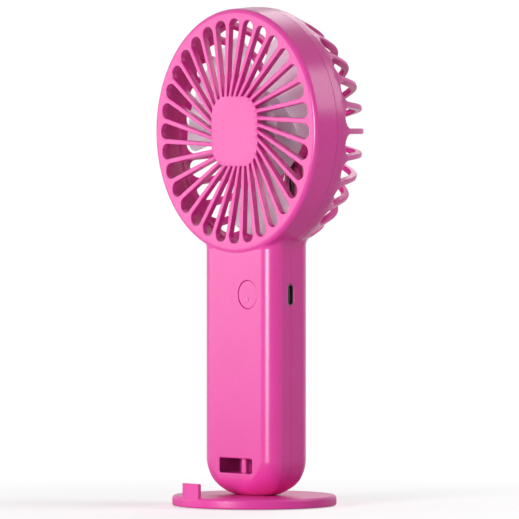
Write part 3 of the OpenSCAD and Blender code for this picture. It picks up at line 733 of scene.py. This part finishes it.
def rear_radius(y):
    """The rear shell's outer radius at a depth behind the parting plane."""
    return on_dome(dome_place(max(y, 1e-6)))[0].x


half_gap = math.pi / rib_count
hub_place = dome_length[-1] - hub_r
hub_line = dome_length[-1] - hub_disc_r
band_line = dome_place(0.0026)


def gap_side(s):
    """Half the gap's width at a place along the dome."""
    r = on_dome(s)[0].x
    return r * (half_gap - math.asin(rib_half / r))


def gap_outline(start_y):
    """Half of a gap's outline on the dome, as (distance along, distance across), from its front middle."""
    s0 = dome_place(start_y)
    wide = gap_side(s0 + gap_corner)
    corner = min(gap_corner, wide - 0.0004)
    points = [(s0, 0.0), (s0, (wide - corner) / 2)]
    points += [(s0 + corner * (1 - math.cos(a)), wide - corner * (1 - math.sin(a)))
               for a in (math.radians(15 * i) for i in range(7))]
    last = hub_place - 0.0006
    stops = [0.0115, 0.0145, 0.0175] + [0.0202 + 0.0112 * i / 9 for i in range(10)] + [0.0360, 0.0420, 0.0480]
    first = s0 + corner
    stops = [first + (p - stops[0]) / (0.0202 - stops[0]) * (0.0202 - first) + 0.0003 if p < 0.0202 else p
             for p in stops]
    points += [(p, gap_side(p)) for p in stops if p < last]
    end = gap_side(last)
    points += [(last + end * math.sin(a), end * math.cos(a)) for a in map(math.radians, (0, 35, 65))]
    points += [(last + end, 0.0)]
    return points


def gap_loops(start_y):
    """Rings round one gap, from the sector's border on the outside, through the gap, to the border inside."""
    shape = gap_outline(start_y)
    n = len(shape)
    ends = 5
    border = []
    for i, (s, t) in enumerate(gap_outline(band_y)):
        if i <= ends:
            border.append((band_line, half_gap * i / ends))
        elif i < n - 4:
            border.append((s - 0.0012 * (n - i) / n, half_gap))
        else:
            border.append((hub_line, half_gap * (n - 1 - i) / 3))
    border[n - 5] = ((border[n - 6][0] + hub_line) / 2, half_gap)
    border[n - 4] = (hub_line, half_gap)

    def grown(by):
        moved = []
        for i in range(n):
            a, b = shape[max(i - 1, 0)], shape[min(i + 1, n - 1)]
            if i == 0:
                a = (shape[1][0], -shape[1][1])
            if i == n - 1:
                b = (shape[n - 2][0], -shape[n - 2][1])
            along = Vector((b[0] - a[0], b[1] - a[1])).normalized()
            out = Vector((-along.y, along.x))
            moved.append((shape[i][0] + out.x * by, shape[i][1] + out.y * by))
        return [(s, t / on_dome(s)[0].x) for s, t in moved]

    loops = []
    top = grown(rib_edge)
    for share in (0.0, 0.35, 0.7):
        loops.append(([(a[0] + (b[0] - a[0]) * share, a[1] + (b[1] - a[1]) * share)
                       for a, b in zip(border, top)], 0.0, 0.0))
    for a in (0.0, 22.5, 45.0, 67.5, 90.0):
        a = math.radians(a)
        loops.append((grown(rib_edge * (1 - math.sin(a))), rib_edge * (1 - math.cos(a)), 0.0))
    for a in (90.0, 60.0, 30.0, 0.0):
        a = math.radians(a)
        loops.append((grown(rib_edge * (1 - math.sin(a))), -rib_edge * (1 - math.cos(a)), 1.0))
    for share in (0.6, 0.0):
        loops.append(([(a[0] + (b[0] - a[0]) * share, a[1] + (b[1] - a[1]) * share)
                       for a, b in zip(border, top)], 0.0, 1.0))
    return loops


def dome_point(s, across, depth, middle, border):
    """A point of the cage. across is the angle from the gap's middle, and a rib keeps its width inward."""
    place, out = on_dome(s)
    r, y = place.x - out.x * depth, place.y - out.y * depth
    if border:
        return (r * math.cos(middle + across), y, head_z - r * math.sin(middle + across))
    away = min(place.x * math.sin(half_gap - abs(across)), r * math.sin(half_gap))
    angle = middle + math.copysign(half_gap - math.asin(away / r), across)
    return (r * math.cos(angle), y, head_z - r * math.sin(angle))


cage_points, cage_faces = [], []
band_angles = []
for k in range(rib_count):
    middle = math.tau * (k + 0.5) / rib_count
    over_handle = math.sin(middle) > 0 and abs(math.cos(middle)) * head_r < 0.0177
    loops = gap_loops(handle_back + 0.001 if over_handle else band_y)
    n = len(loops[0][0])
    count = 2 * n - 2
    first = len(cage_points)
    for i, (outline, near, far) in enumerate(loops):
        ring = [(s, a) for s, a in outline] + [(s, -a) for s, a in reversed(outline[1:-1])]
        on_border = i in (0, len(loops) - 1)
        cage_points += [dome_point(s, a, near + far * rib_depth(s), middle, on_border) for s, a in ring]
    cage_faces += ring_faces(first, count, len(loops))
    band_angles += [middle + half_gap * i / 5 for i in range(-5, 5)]

lip_in, lip_out = head_in_r, head_in_r + 0.0011
band_in = on_dome(band_line)
band_rings = [(band_in[0].x, band_in[0].y), (head_r, 0.0016), (head_r, seam), (head_r - seam, 0.0)]
band_rings += [(lip_out, 0.0), (lip_out, -0.0014), (lip_out - 0.0001, -0.0015), (lip_in, -0.0015)]
band_rings += [(lip_in, 0.0008), (head_r - rib_t, 0.0016), (head_r - rib_t, band_in[0].y)]


def add_rings(rings, angles):
    """Adds rings about the head's axis to the cage, with the faces between them."""
    start = len(cage_points)
    for r, y in rings:
        cage_points.extend((r * math.cos(a), y, head_z - r * math.sin(a)) for a in angles)
    cage_faces.extend(ring_faces(start, len(angles), len(rings)))


add_rings(band_rings, band_angles)
# the hub's outside, with the small dimple where the plastic was let in, and its inside
dimple_r, dimple_d = 0.0022, 0.00025
hub_angles = [math.tau * (k + 0.5) / rib_count + half_gap * i / 3
              for k in range(rib_count) for i in range(-3, 3)]
outside = [(hub_disc_r, cage_depth), (dimple_r, cage_depth), (dimple_r - 0.0003, cage_depth - dimple_d)]
for rings in (outside, [(hub_disc_r, cage_depth - hub_t)]):
    add_rings(rings, hub_angles)
    cage_faces.append(tuple(range(len(cage_points) - len(hub_angles), len(cage_points))))
rear_casing = mesh_object("rear_casing", cage_points, cage_faces)
weld(rear_casing, 2e-6)

# the handle's back, run into the band, with its screw holes, posts and the motor's cup
back = handle_half("handle_back", 1)
hollow = handle_half("back_hollow", 1, wall)


def dome_core(name, shrink):
    """The dome's own room, which the handle leaves free."""
    places = [on_dome(s) for s in (0.0, band_line, dome_place(0.009), dome_place(0.014), dome_place(0.018))]
    side = [(p.x - out.x * shrink, p.y - out.y * shrink) for p, out in places]
    return turned(name, [(0.0, -0.001), (side[0][0], -0.001)] + side + [(0.0, side[-1][1])], 96)


combined(hollow, dome_core("hollow_top", -0.0001), "DIFFERENCE")
combined(back, hollow, "DIFFERENCE")
combined(back, dome_core("back_top", 0.0013), "DIFFERENCE")
combined(back, block("back_socket", (-socket_half_w, 0.0, base_top + 0.0008),
                     (socket_half_w, 0.0057, socket_top)), "UNION")
for x in (-screw_x, screw_x):
    for z in screw_zs:
        combined(back, rod("back_post", x, z, post_r, 0.0, handle_back - 0.001), "UNION")
combined(back, spigot_room(), "DIFFERENCE")
pocket_half_w = slot_half_w + wall + 0.0003
pocket_low = (-pocket_half_w, -0.001, slot_z - slot_half_h - wall - 0.0001)
pocket_high = (pocket_half_w, 0.0031, slot_z + slot_half_h + wall + 0.0003)
combined(back, block("pocket_room", pocket_low, pocket_high), "DIFFERENCE")
head_room_r, screw_seat, shank_room_r = 0.0021, 0.007, 0.0011
head_room = arc(0.0, 0.0, head_room_r, 0.0, 360.0, 40)[:-1]
for x in (-screw_x, screw_x):
    for z in screw_zs:
        combined(back, flared_cutter("screw_room", head_room, -handle_back, -screw_seat, 0.0003,
                                     lambda p, d: (x + p.x, -d, z + p.y)), "DIFFERENCE")
        combined(back, rod("screw_way", x, z, shank_room_r, -0.001, screw_seat + 0.001, 24), "DIFFERENCE")
combined(back, port_opening(), "DIFFERENCE")
combined(rear_casing, back, "UNION")
combined(rear_casing, neck_bead("back_bead", 1, rear_radius, (0.0028, 0.0034), (0.0009, 0.0016)), "UNION")
motor_low, motor_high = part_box("motor_can")
motor_r = (motor_high.x - motor_low.x) / 2
cup_y = motor_low.y + 0.0026
cup_in_r, cup_out_r = motor_r + 0.0001, motor_r + 0.0017
cup_root, cup_edge = cage_depth - hub_t + 0.001, 0.0003
cup_profile = [(cup_out_r, cup_root), (cup_out_r, cup_y + cup_edge), (cup_out_r - cup_edge, cup_y)]
cup_profile += [(cup_in_r + cup_edge, cup_y), (cup_in_r, cup_y + cup_edge), (cup_in_r, cup_root)]
cup_profile += [(cup_out_r, cup_root)]
combined(rear_casing, turned("motor_cup", cup_profile, 96), "UNION")
combined(rear_casing, block("lead_way", (-0.0025, motor_high.y, head_z - motor_r - 0.003),
                            (0.0025, cage_depth - hub_t, head_z - motor_r + 0.002)), "DIFFERENCE")
combined(rear_casing, block("neck_way", (-0.0025, 0.0008, head_z - head_r - 0.002),
                            (0.0025, 0.005, head_z - head_in_r + 0.003)), "DIFFERENCE")
smooth(rear_casing, 32.0, side_crease)
dress(pink, rear_casing)
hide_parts("rear_shell")
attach(rear_casing, "fan_body")

# ---------- motor ----------
# A brushed motor, pushed into the rear shell's cup: a drawn steel can with two magnets, a white end cap that
# holds the brushes and terminals, and a three-slot core of stamped sheets, wound with enamelled copper wire,
# on a ground shaft.
drawn_steel = finish("drawn_steel", (0.52, 0.51, 0.49), (0.40, 0.39, 0.38),
                     (180.0, 2600.0), (0.28, 0.45), 0.3, 1.0, (1.0, 0.2, 1.0))
dress(drawn_steel, "motor_can")
steel = finish("bright_steel", (0.62, 0.62, 0.63), (0.50, 0.50, 0.52),
               (260.0, 3200.0), (0.22, 0.38), 0.15, 1.0, (1.0, 9.0, 1.0))
dress(steel, "motor_shaft")
ferrite = finish("grey_ferrite", (0.060, 0.058, 0.058), (0.035, 0.034, 0.034),
                 (1200.0, 6000.0), (0.5, 0.7), 0.5)
dress(ferrite, "motor_magnets")
white_moulding = finish("white_moulding", (0.80, 0.79, 0.76), (0.74, 0.73, 0.69), (300.0, 3000.0),
                        (0.5, 0.65), 0.3)
dress(white_moulding, "motor_end_cap", "motor_retainer")
bronze = finish("sintered_bronze", (0.48, 0.29, 0.14), (0.36, 0.21, 0.10),
                (1500.0, 6000.0), (0.4, 0.55), 0.5, 1.0)
dress(bronze, "motor_front_bush", "motor_rear_bush")
copper = finish("turned_copper", (0.80, 0.36, 0.20), (0.68, 0.28, 0.15),
                (500.0, 4000.0), (0.22, 0.36), 0.2, 1.0)
dress(copper, "motor_brushes", "motor_terminals", "commutator")

wave_repeats = 3.2  # how often a wave texture at scale 1 repeats in a metre


def banded(material, pitch, depth):
    """Adds fine grooves along the motor's axis, as between stamped sheets or turns of wire."""
    nodes, links = material.node_tree.nodes, material.node_tree.links
    place = next(n for n in nodes if n.bl_idname == "ShaderNodeTexCoord")
    bands = nodes.new("ShaderNodeTexWave")
    bands.bands_direction = "Y"
    bands.inputs["Scale"].default_value = 1.0 / pitch / wave_repeats
    bands.inputs["Distortion"].default_value = 0.3
    links.new(place.outputs["Object"], bands.inputs["Vector"])
    relief = nodes.new("ShaderNodeBump")
    relief.inputs["Strength"].default_value = depth
    relief.inputs["Distance"].default_value = 0.00008
    links.new(bands.outputs["Fac"], relief.inputs["Height"])
    links.new(relief.outputs["Normal"], nodes["Principled BSDF"].inputs["Normal"])
    return material


sheets = finish("stamped_sheets", (0.42, 0.42, 0.44), (0.32, 0.32, 0.34),
                (400.0, 3000.0), (0.4, 0.55), 0.0, 1.0)
wire = finish("enamelled_wire", (0.62, 0.22, 0.09), (0.52, 0.17, 0.07),
              (600.0, 3000.0), (0.25, 0.35), 0.0, 0.9)
dress(banded(sheets, 0.0005, 0.6), "rotor_core")
dress(banded(wire, 0.0003, 0.8), "rotor_windings")

# ---------- impeller ----------
# A cup-shaped hub with three wide, curved blades, moulded in one piece in milky polypropylene that lets
# a little light through. Its boss is pressed on the motor's shaft.
rotor_low, rotor_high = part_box("impeller")
rotor_front, rotor_back = rotor_low.y, rotor_high.y
rotor_hub_r, hub_in_r = 0.0202, 0.0188
boss_r, boss_back, shaft_way_r = 0.0032, 0.0065, 0.00102
blade_count = 3
blade_r = 0.045
blade_t = 0.0012
blade_sweep = 82.0
blade_fall = 0.0045
blade_phase = 47.0
blade_long, blade_wide, blade_edge = 47.0, 25.8, 0.6  # millimetres
hub_profile = [(0.0, rotor_front)]
hub_profile += arc(rotor_hub_r - 0.0012, rotor_front + 0.0012, 0.0012, -90.0, 0.0, 6)
hub_profile += [(rotor_hub_r, rotor_back - 0.0003), (rotor_hub_r - 0.0003, rotor_back)]
hub_profile += [(hub_in_r + 0.0003, rotor_back), (hub_in_r, rotor_back - 0.0003)]
hub_profile += arc(hub_in_r - 0.001, rotor_front + 0.0024, 0.001, 0.0, -90.0, 4)
hub_profile += [(boss_r + 0.0005, rotor_front + 0.0014), (boss_r, rotor_front + 0.0019), (boss_r, boss_back)]
hub_profile += [(shaft_way_r, boss_back), (shaft_way_r, rotor_front + 0.0013), (0.0, rotor_front + 0.0013)]
impeller = turned("fan_impeller", hub_profile, 144)


def tip_corner(v):
    """How much of the blade's round outer corner has been taken off at a share of the way out."""
    return 0.0 if v < 0.7 else 1 - math.sqrt(max(0.0, 1 - ((v - 0.7) / 0.3) ** 2))


def blade_point(u, v, side, thick):
    """A point of a blade's front (-1) or back (1) skin, as radius, angle and depth. u runs along its sweep
    and v outward from the hub."""
    r = rotor_hub_r - 0.001 + v * (blade_r - rotor_hub_r + 0.001)
    lead = 12 * tip_corner(v)
    a = lead + u * (blade_sweep - lead - 8 * tip_corner(v))
    edge = 0.0015 + blade_fall * v
    y = rotor_front + edge + (rotor_back - rotor_front - 0.001 - edge) * a / blade_sweep + side * thick / 2
    return r, math.radians(a), y


across = [0.0, 0.003, 0.008, 0.016] + [0.016 + 0.968 * i / 22 for i in range(1, 22)]
across += [0.984, 0.992, 0.997, 1.0]
outward = [0.0] + [0.97 * i / 15 for i in range(1, 16)] + [0.985, 0.995, 1.0]
for k in range(blade_count):
    turn = math.radians(blade_phase + k * 360 / blade_count)
    points, faces = [], []
    for side in (-1, 1):
        for u in across:
            for v in outward:
                near = min(u * blade_long, (1 - u) * blade_long, (1 - v) * blade_wide) / blade_edge
                thick = blade_t * math.sqrt(1 - (1 - min(1.0, near)) ** 2)
                r, a, y = blade_point(u, v, side, thick)
                points.append((r * math.cos(a + turn), y, head_z - r * math.sin(a + turn)))
    n, m = len(outward), len(across)
    for layer in (0, n * m):
        for i in range(m - 1):
            for j in range(n - 1):
                a = layer + i * n + j
                faces.append((a, a + 1, a + n + 1, a + n))
    for i in range(m - 1):
        faces.append((i * n, (i + 1) * n, n * m + (i + 1) * n, n * m + i * n))
    blade = mesh_object("blade", points, faces)
    weld(blade, 5e-6)
    combined(impeller, blade, "UNION")
smooth(impeller, 40.0)
milky = finish("milky_plastic", (0.95, 0.83, 0.93), (0.92, 0.79, 0.90), (60.0, 1800.0), (0.38, 0.48), 0.05)
milky_face = milky.node_tree.nodes["Principled BSDF"]
milky_face.inputs["Transmission Weight"].default_value = 0.75
milky_face.inputs["IOR"].default_value = 1.45
dress(milky, impeller)
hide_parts("impeller")
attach(impeller, "rotor")

# ---------- power button and switch ----------
# A round key in the same pink, a hair below the handle's face, with a fine gap all round and a small milky
# window for the charging light. A rim behind keeps it in, and its stem presses a tact switch on the board,
# which is black nylon under a bright steel cover.
window_drop = 0.0021
window_r, window_half = 0.00052, 0.00046
button_face = handle_front + 0.0002
button_edge_r = 0.00035
rim_r, rim_front, rim_back = button_r + 0.0009, handle_front + 0.0019, handle_front + 0.0027
stem_r, stem_back = 0.0017, handle_front + 0.0034
cap_profile = [(0.0, button_face)]
cap_profile += arc(button_r - button_edge_r, button_face + button_edge_r, button_edge_r, -90, 0, 6)
cap_profile += [(button_r, rim_front), (rim_r, rim_front), (rim_r, rim_back), (stem_r, rim_back)]
cap_profile += [(stem_r, stem_back), (0.0, stem_back)]
button = turned("button_cap", cap_profile, 96, (button_x, button_z))
pill = [(x * window_r, z * window_r + math.copysign(window_half, z))
        for x, z in arc(0.0, 0.0, 1.0, 3.0, 357.0, 24)]
window_way = lofted("window_way", [[(button_x + x, y, button_z - window_drop + z) for x, z in pill]
                                   for y in (handle_front - 0.001, handle_front + 0.0031)])
combined(button, window_way, "DIFFERENCE")
smooth(button)
dress(pink, button)
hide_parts("power_button")
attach(button, "button")
window = finish("milky_window", (0.88, 0.13, 0.47), (0.85, 0.11, 0.44), (900.0, 4000.0), (0.2, 0.3), 0.03)
window.node_tree.nodes["Principled BSDF"].inputs["Transmission Weight"].default_value = 0.15
dress(window, "button_window")
black = finish("black_nylon", (0.022, 0.022, 0.024), (0.012, 0.012, 0.013),
               (700.0, 5000.0), (0.42, 0.58), 0.25)
dress(black, "switch_plunger", "switch_body")
dress(steel, "switch_cover")
lens = finish("light_lens", (0.93, 0.92, 0.86), (0.86, 0.85, 0.78), (1500.0, 5000.0), (0.12, 0.2), 0.03)
lens.node_tree.nodes["Principled BSDF"].inputs["Transmission Weight"].default_value = 0.5
dress(lens, "status_light")

# ---------- circuit board and port ----------
# A green fibreglass board screwed to the front shell, with its tracks under solder mask. It carries the
# charging and motor chips, small parts soldered flat, and the charging port, whose shell is dark nickel.
board_green = finish("solder_mask", (0.020, 0.150, 0.055), (0.014, 0.105, 0.038), (300.0, 2500.0),
                     (0.25, 0.35), 0.1)
tracks = board_green.node_tree.nodes.new("ShaderNodeTexBrick")
tracks.inputs["Color1"].default_value = (0.018, 0.140, 0.050, 1.0)
tracks.inputs["Color2"].default_value = (0.014, 0.115, 0.042, 1.0)
tracks.inputs["Mortar"].default_value = (0.060, 0.260, 0.090, 1.0)
tracks.inputs["Scale"].default_value = 180.0
tracks.inputs["Mortar Size"].default_value = 0.035
board_turn = board_green.node_tree.nodes.new("ShaderNodeMapping")
board_turn.inputs["Rotation"].default_value = (math.pi / 2, 0.0, 0.0)
board_links = board_green.node_tree.links
board_place = next(n for n in board_green.node_tree.nodes if n.bl_idname == "ShaderNodeTexCoord")
board_links.new(board_place.outputs["Object"], board_turn.inputs["Vector"])
board_links.new(board_turn.outputs["Vector"], tracks.inputs["Vector"])
board_links.new(tracks.outputs["Color"], board_green.node_tree.nodes["Principled BSDF"].inputs["Base Color"])
dress(board_green, "circuit_board")
dress(black, "charge_chip", "driver_chip", "resistors", "port_tongue")
dress(ferrite, "inductor")
ceramic = finish("tan_ceramic", (0.42, 0.29, 0.17), (0.34, 0.23, 0.13), (900.0, 5000.0), (0.3, 0.45), 0.15)
dress(ceramic, "capacitors")
dark_nickel = finish("dark_nickel", (0.300, 0.250, 0.290), (0.210, 0.175, 0.205), (500.0, 4200.0),
                     (0.3, 0.45), 0.2, 0.8, (1.0, 6.0, 1.0))
dress(dark_nickel, "port_shell")
gold = finish("gold_plating", (0.95, 0.66, 0.25), (0.88, 0.58, 0.20), (900.0, 5200.0), (0.18, 0.3), 0.1, 1.0)
dress(gold, "port_contacts")

# ---------- battery ----------
# A round lithium cell in a shrunk sleeve, with a fibre ring on its end, spot-welded nickel strips and foam
# pads against rattle. Silicone-covered leads run from it to the board, and from the board to the motor.
sleeve = finish("shrunk_sleeve", (0.045, 0.32, 0.48), (0.035, 0.27, 0.42),
                (120.0, 1500.0), (0.2, 0.34), 0.2, 0.0, (1.0, 1.0, 0.25))
dress(sleeve, "battery_cell")
dress(white_moulding, "battery_insulator")
nickel = finish("spot_welded_nickel", (0.66, 0.64, 0.60), (0.52, 0.50, 0.47), (350.0, 4500.0), (0.25, 0.4),
                0.25, 1.0, (4.0, 1.0, 1.0))
dress(nickel, "battery_strips")
foam = finish("black_foam", (0.050, 0.050, 0.054), (0.020, 0.020, 0.022), (2400.0, 3600.0), (0.85, 0.95), 0.9)
dress(foam, "battery_pads")
red_cover = finish("red_silicone", (0.55, 0.020, 0.018), (0.47, 0.014, 0.013),
                   (300.0, 2500.0), (0.35, 0.48), 0.1)
black_cover = finish("black_silicone", (0.025, 0.025, 0.026), (0.015, 0.015, 0.016), (300.0, 2500.0),
                     (0.35, 0.48), 0.1)
wine_cover = finish("wine_silicone", (0.10, 0.006, 0.020), (0.07, 0.004, 0.014),
                    (300.0, 2500.0), (0.4, 0.55), 0.1)
dress(red_cover, "battery_lead_red")
dress(wine_cover, "motor_lead_red")
dress(black_cover, "battery_lead_black", "motor_lead_black")

# ---------- screws ----------
# Zinc-plated steel screws with pan heads: four go in from the back, deep in the handle, and draw the two
# shells together, and two smaller ones hold the board to the front shell.
zinc = finish("zinc_plating", (0.60, 0.60, 0.62), (0.46, 0.47, 0.49),
              (420.0, 3800.0), (0.24, 0.42), 0.25, 1.0, (1.0, 3.0, 1.0))
dress(zinc, "case_screws", "board_screws")

# ---------- stand ----------
# A solid round base in the same pink. Its spigot stands up into a socket in the handle's foot, a tab at the
# front stops a leaning phone, and three rubber feet sit in recesses underneath.
base_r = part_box("stand_base")[1].x
base_edge = 0.0014
tab_half_w, tab_t, tab_h, tab_inset = 0.0055, 0.0021, 0.0059, 0.0002
tab_turn = math.radians(-3.2)
spigot_half_w, spigot_half_d, spigot_h = 0.0055, 0.003, 0.006
foot_ring_r, recess_r, recess_d = 0.028, 0.0041, 0.0014
base_profile = [(0.0, 0.0), (base_r - 0.0011, 0.0)] + arc(base_r - 0.0008, 0.0008, 0.0008, -60.0, 0.0, 4)
base_profile += arc(base_r - base_edge, base_top - base_edge, base_edge, 0.0, 90.0, 8) + [(0.0, base_top)]
bpy.ops.object.select_all(action="DESELECT")
base = mesh_object("round_base", [(r, 0.0, z) for r, z in base_profile], [])
base.data.edges.add(len(base_profile) - 1)
for i, edge in enumerate(base.data.edges):
    edge.vertices = (i, i + 1)
edit(base)
bpy.ops.mesh.spin(steps=192, angle=math.tau, center=(0.0, 0.0, 0.0), axis=(0.0, 0.0, 1.0))
leave_edit()
weld(base)
tab_front = tab_inset - base_r
tab = block("phone_tab", (-tab_half_w, tab_front, 0.001), (tab_half_w, tab_front + tab_t, base_top + tab_h),
            0.00045, 4)
tab.data.transform(Matrix.Rotation(tab_turn, 4, "Z"))
round_front = mesh_object("round_front", [(base_r - 0.0002, 0.0, 0.0), (base_r - 0.0002, 0.0, 0.02)], [])
round_front.data.edges.add(1)
round_front.data.edges[0].vertices = (0, 1)
edit(round_front)
bpy.ops.mesh.spin(steps=240, angle=math.tau, center=(0.0, 0.0, 0.0), axis=(0.0, 0.0, 1.0))
bpy.ops.mesh.select_all(action="SELECT")
bpy.ops.mesh.remove_doubles(threshold=1e-6)
bpy.ops.mesh.select_all(action="DESELECT")
bpy.ops.mesh.select_non_manifold()
bpy.ops.mesh.edge_face_add()
leave_edit()
weld(round_front)
combined(tab, round_front, "INTERSECT")
combined(base, tab, "UNION")
spigot = block("spigot", (-spigot_half_w, handle_y - spigot_half_d, base_top - 0.001),
               (spigot_half_w, handle_y + spigot_half_d, base_top + spigot_h), 0.0005)
combined(base, spigot, "UNION")
for turn in map(math.radians, (90, 210, 330)):
    x, y = foot_ring_r * math.cos(turn), foot_ring_r * math.sin(turn)
    bpy.ops.mesh.primitive_cylinder_add(radius=recess_r, depth=recess_d + 0.001, vertices=64,
                                        location=(x, y, recess_d / 2 - 0.0005))
    recess = bpy.context.object
    bpy.ops.object.transform_apply(location=True, rotation=True, scale=True)
    combined(base, recess, "DIFFERENCE")
smooth(base)
rubber = finish("foot_rubber", (0.045, 0.045, 0.048), (0.028, 0.028, 0.030),
                (500.0, 3500.0), (0.7, 0.85), 0.5)
base_pink = finish("satin_pink_base", (0.82, 0.050, 0.385), (0.79, 0.046, 0.365), (45.0, 2600.0),
                   (0.34, 0.4), 0.05)
dress(base_pink, base)
dress(rubber, "stand_feet")
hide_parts("stand_base")
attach(base, "stand")
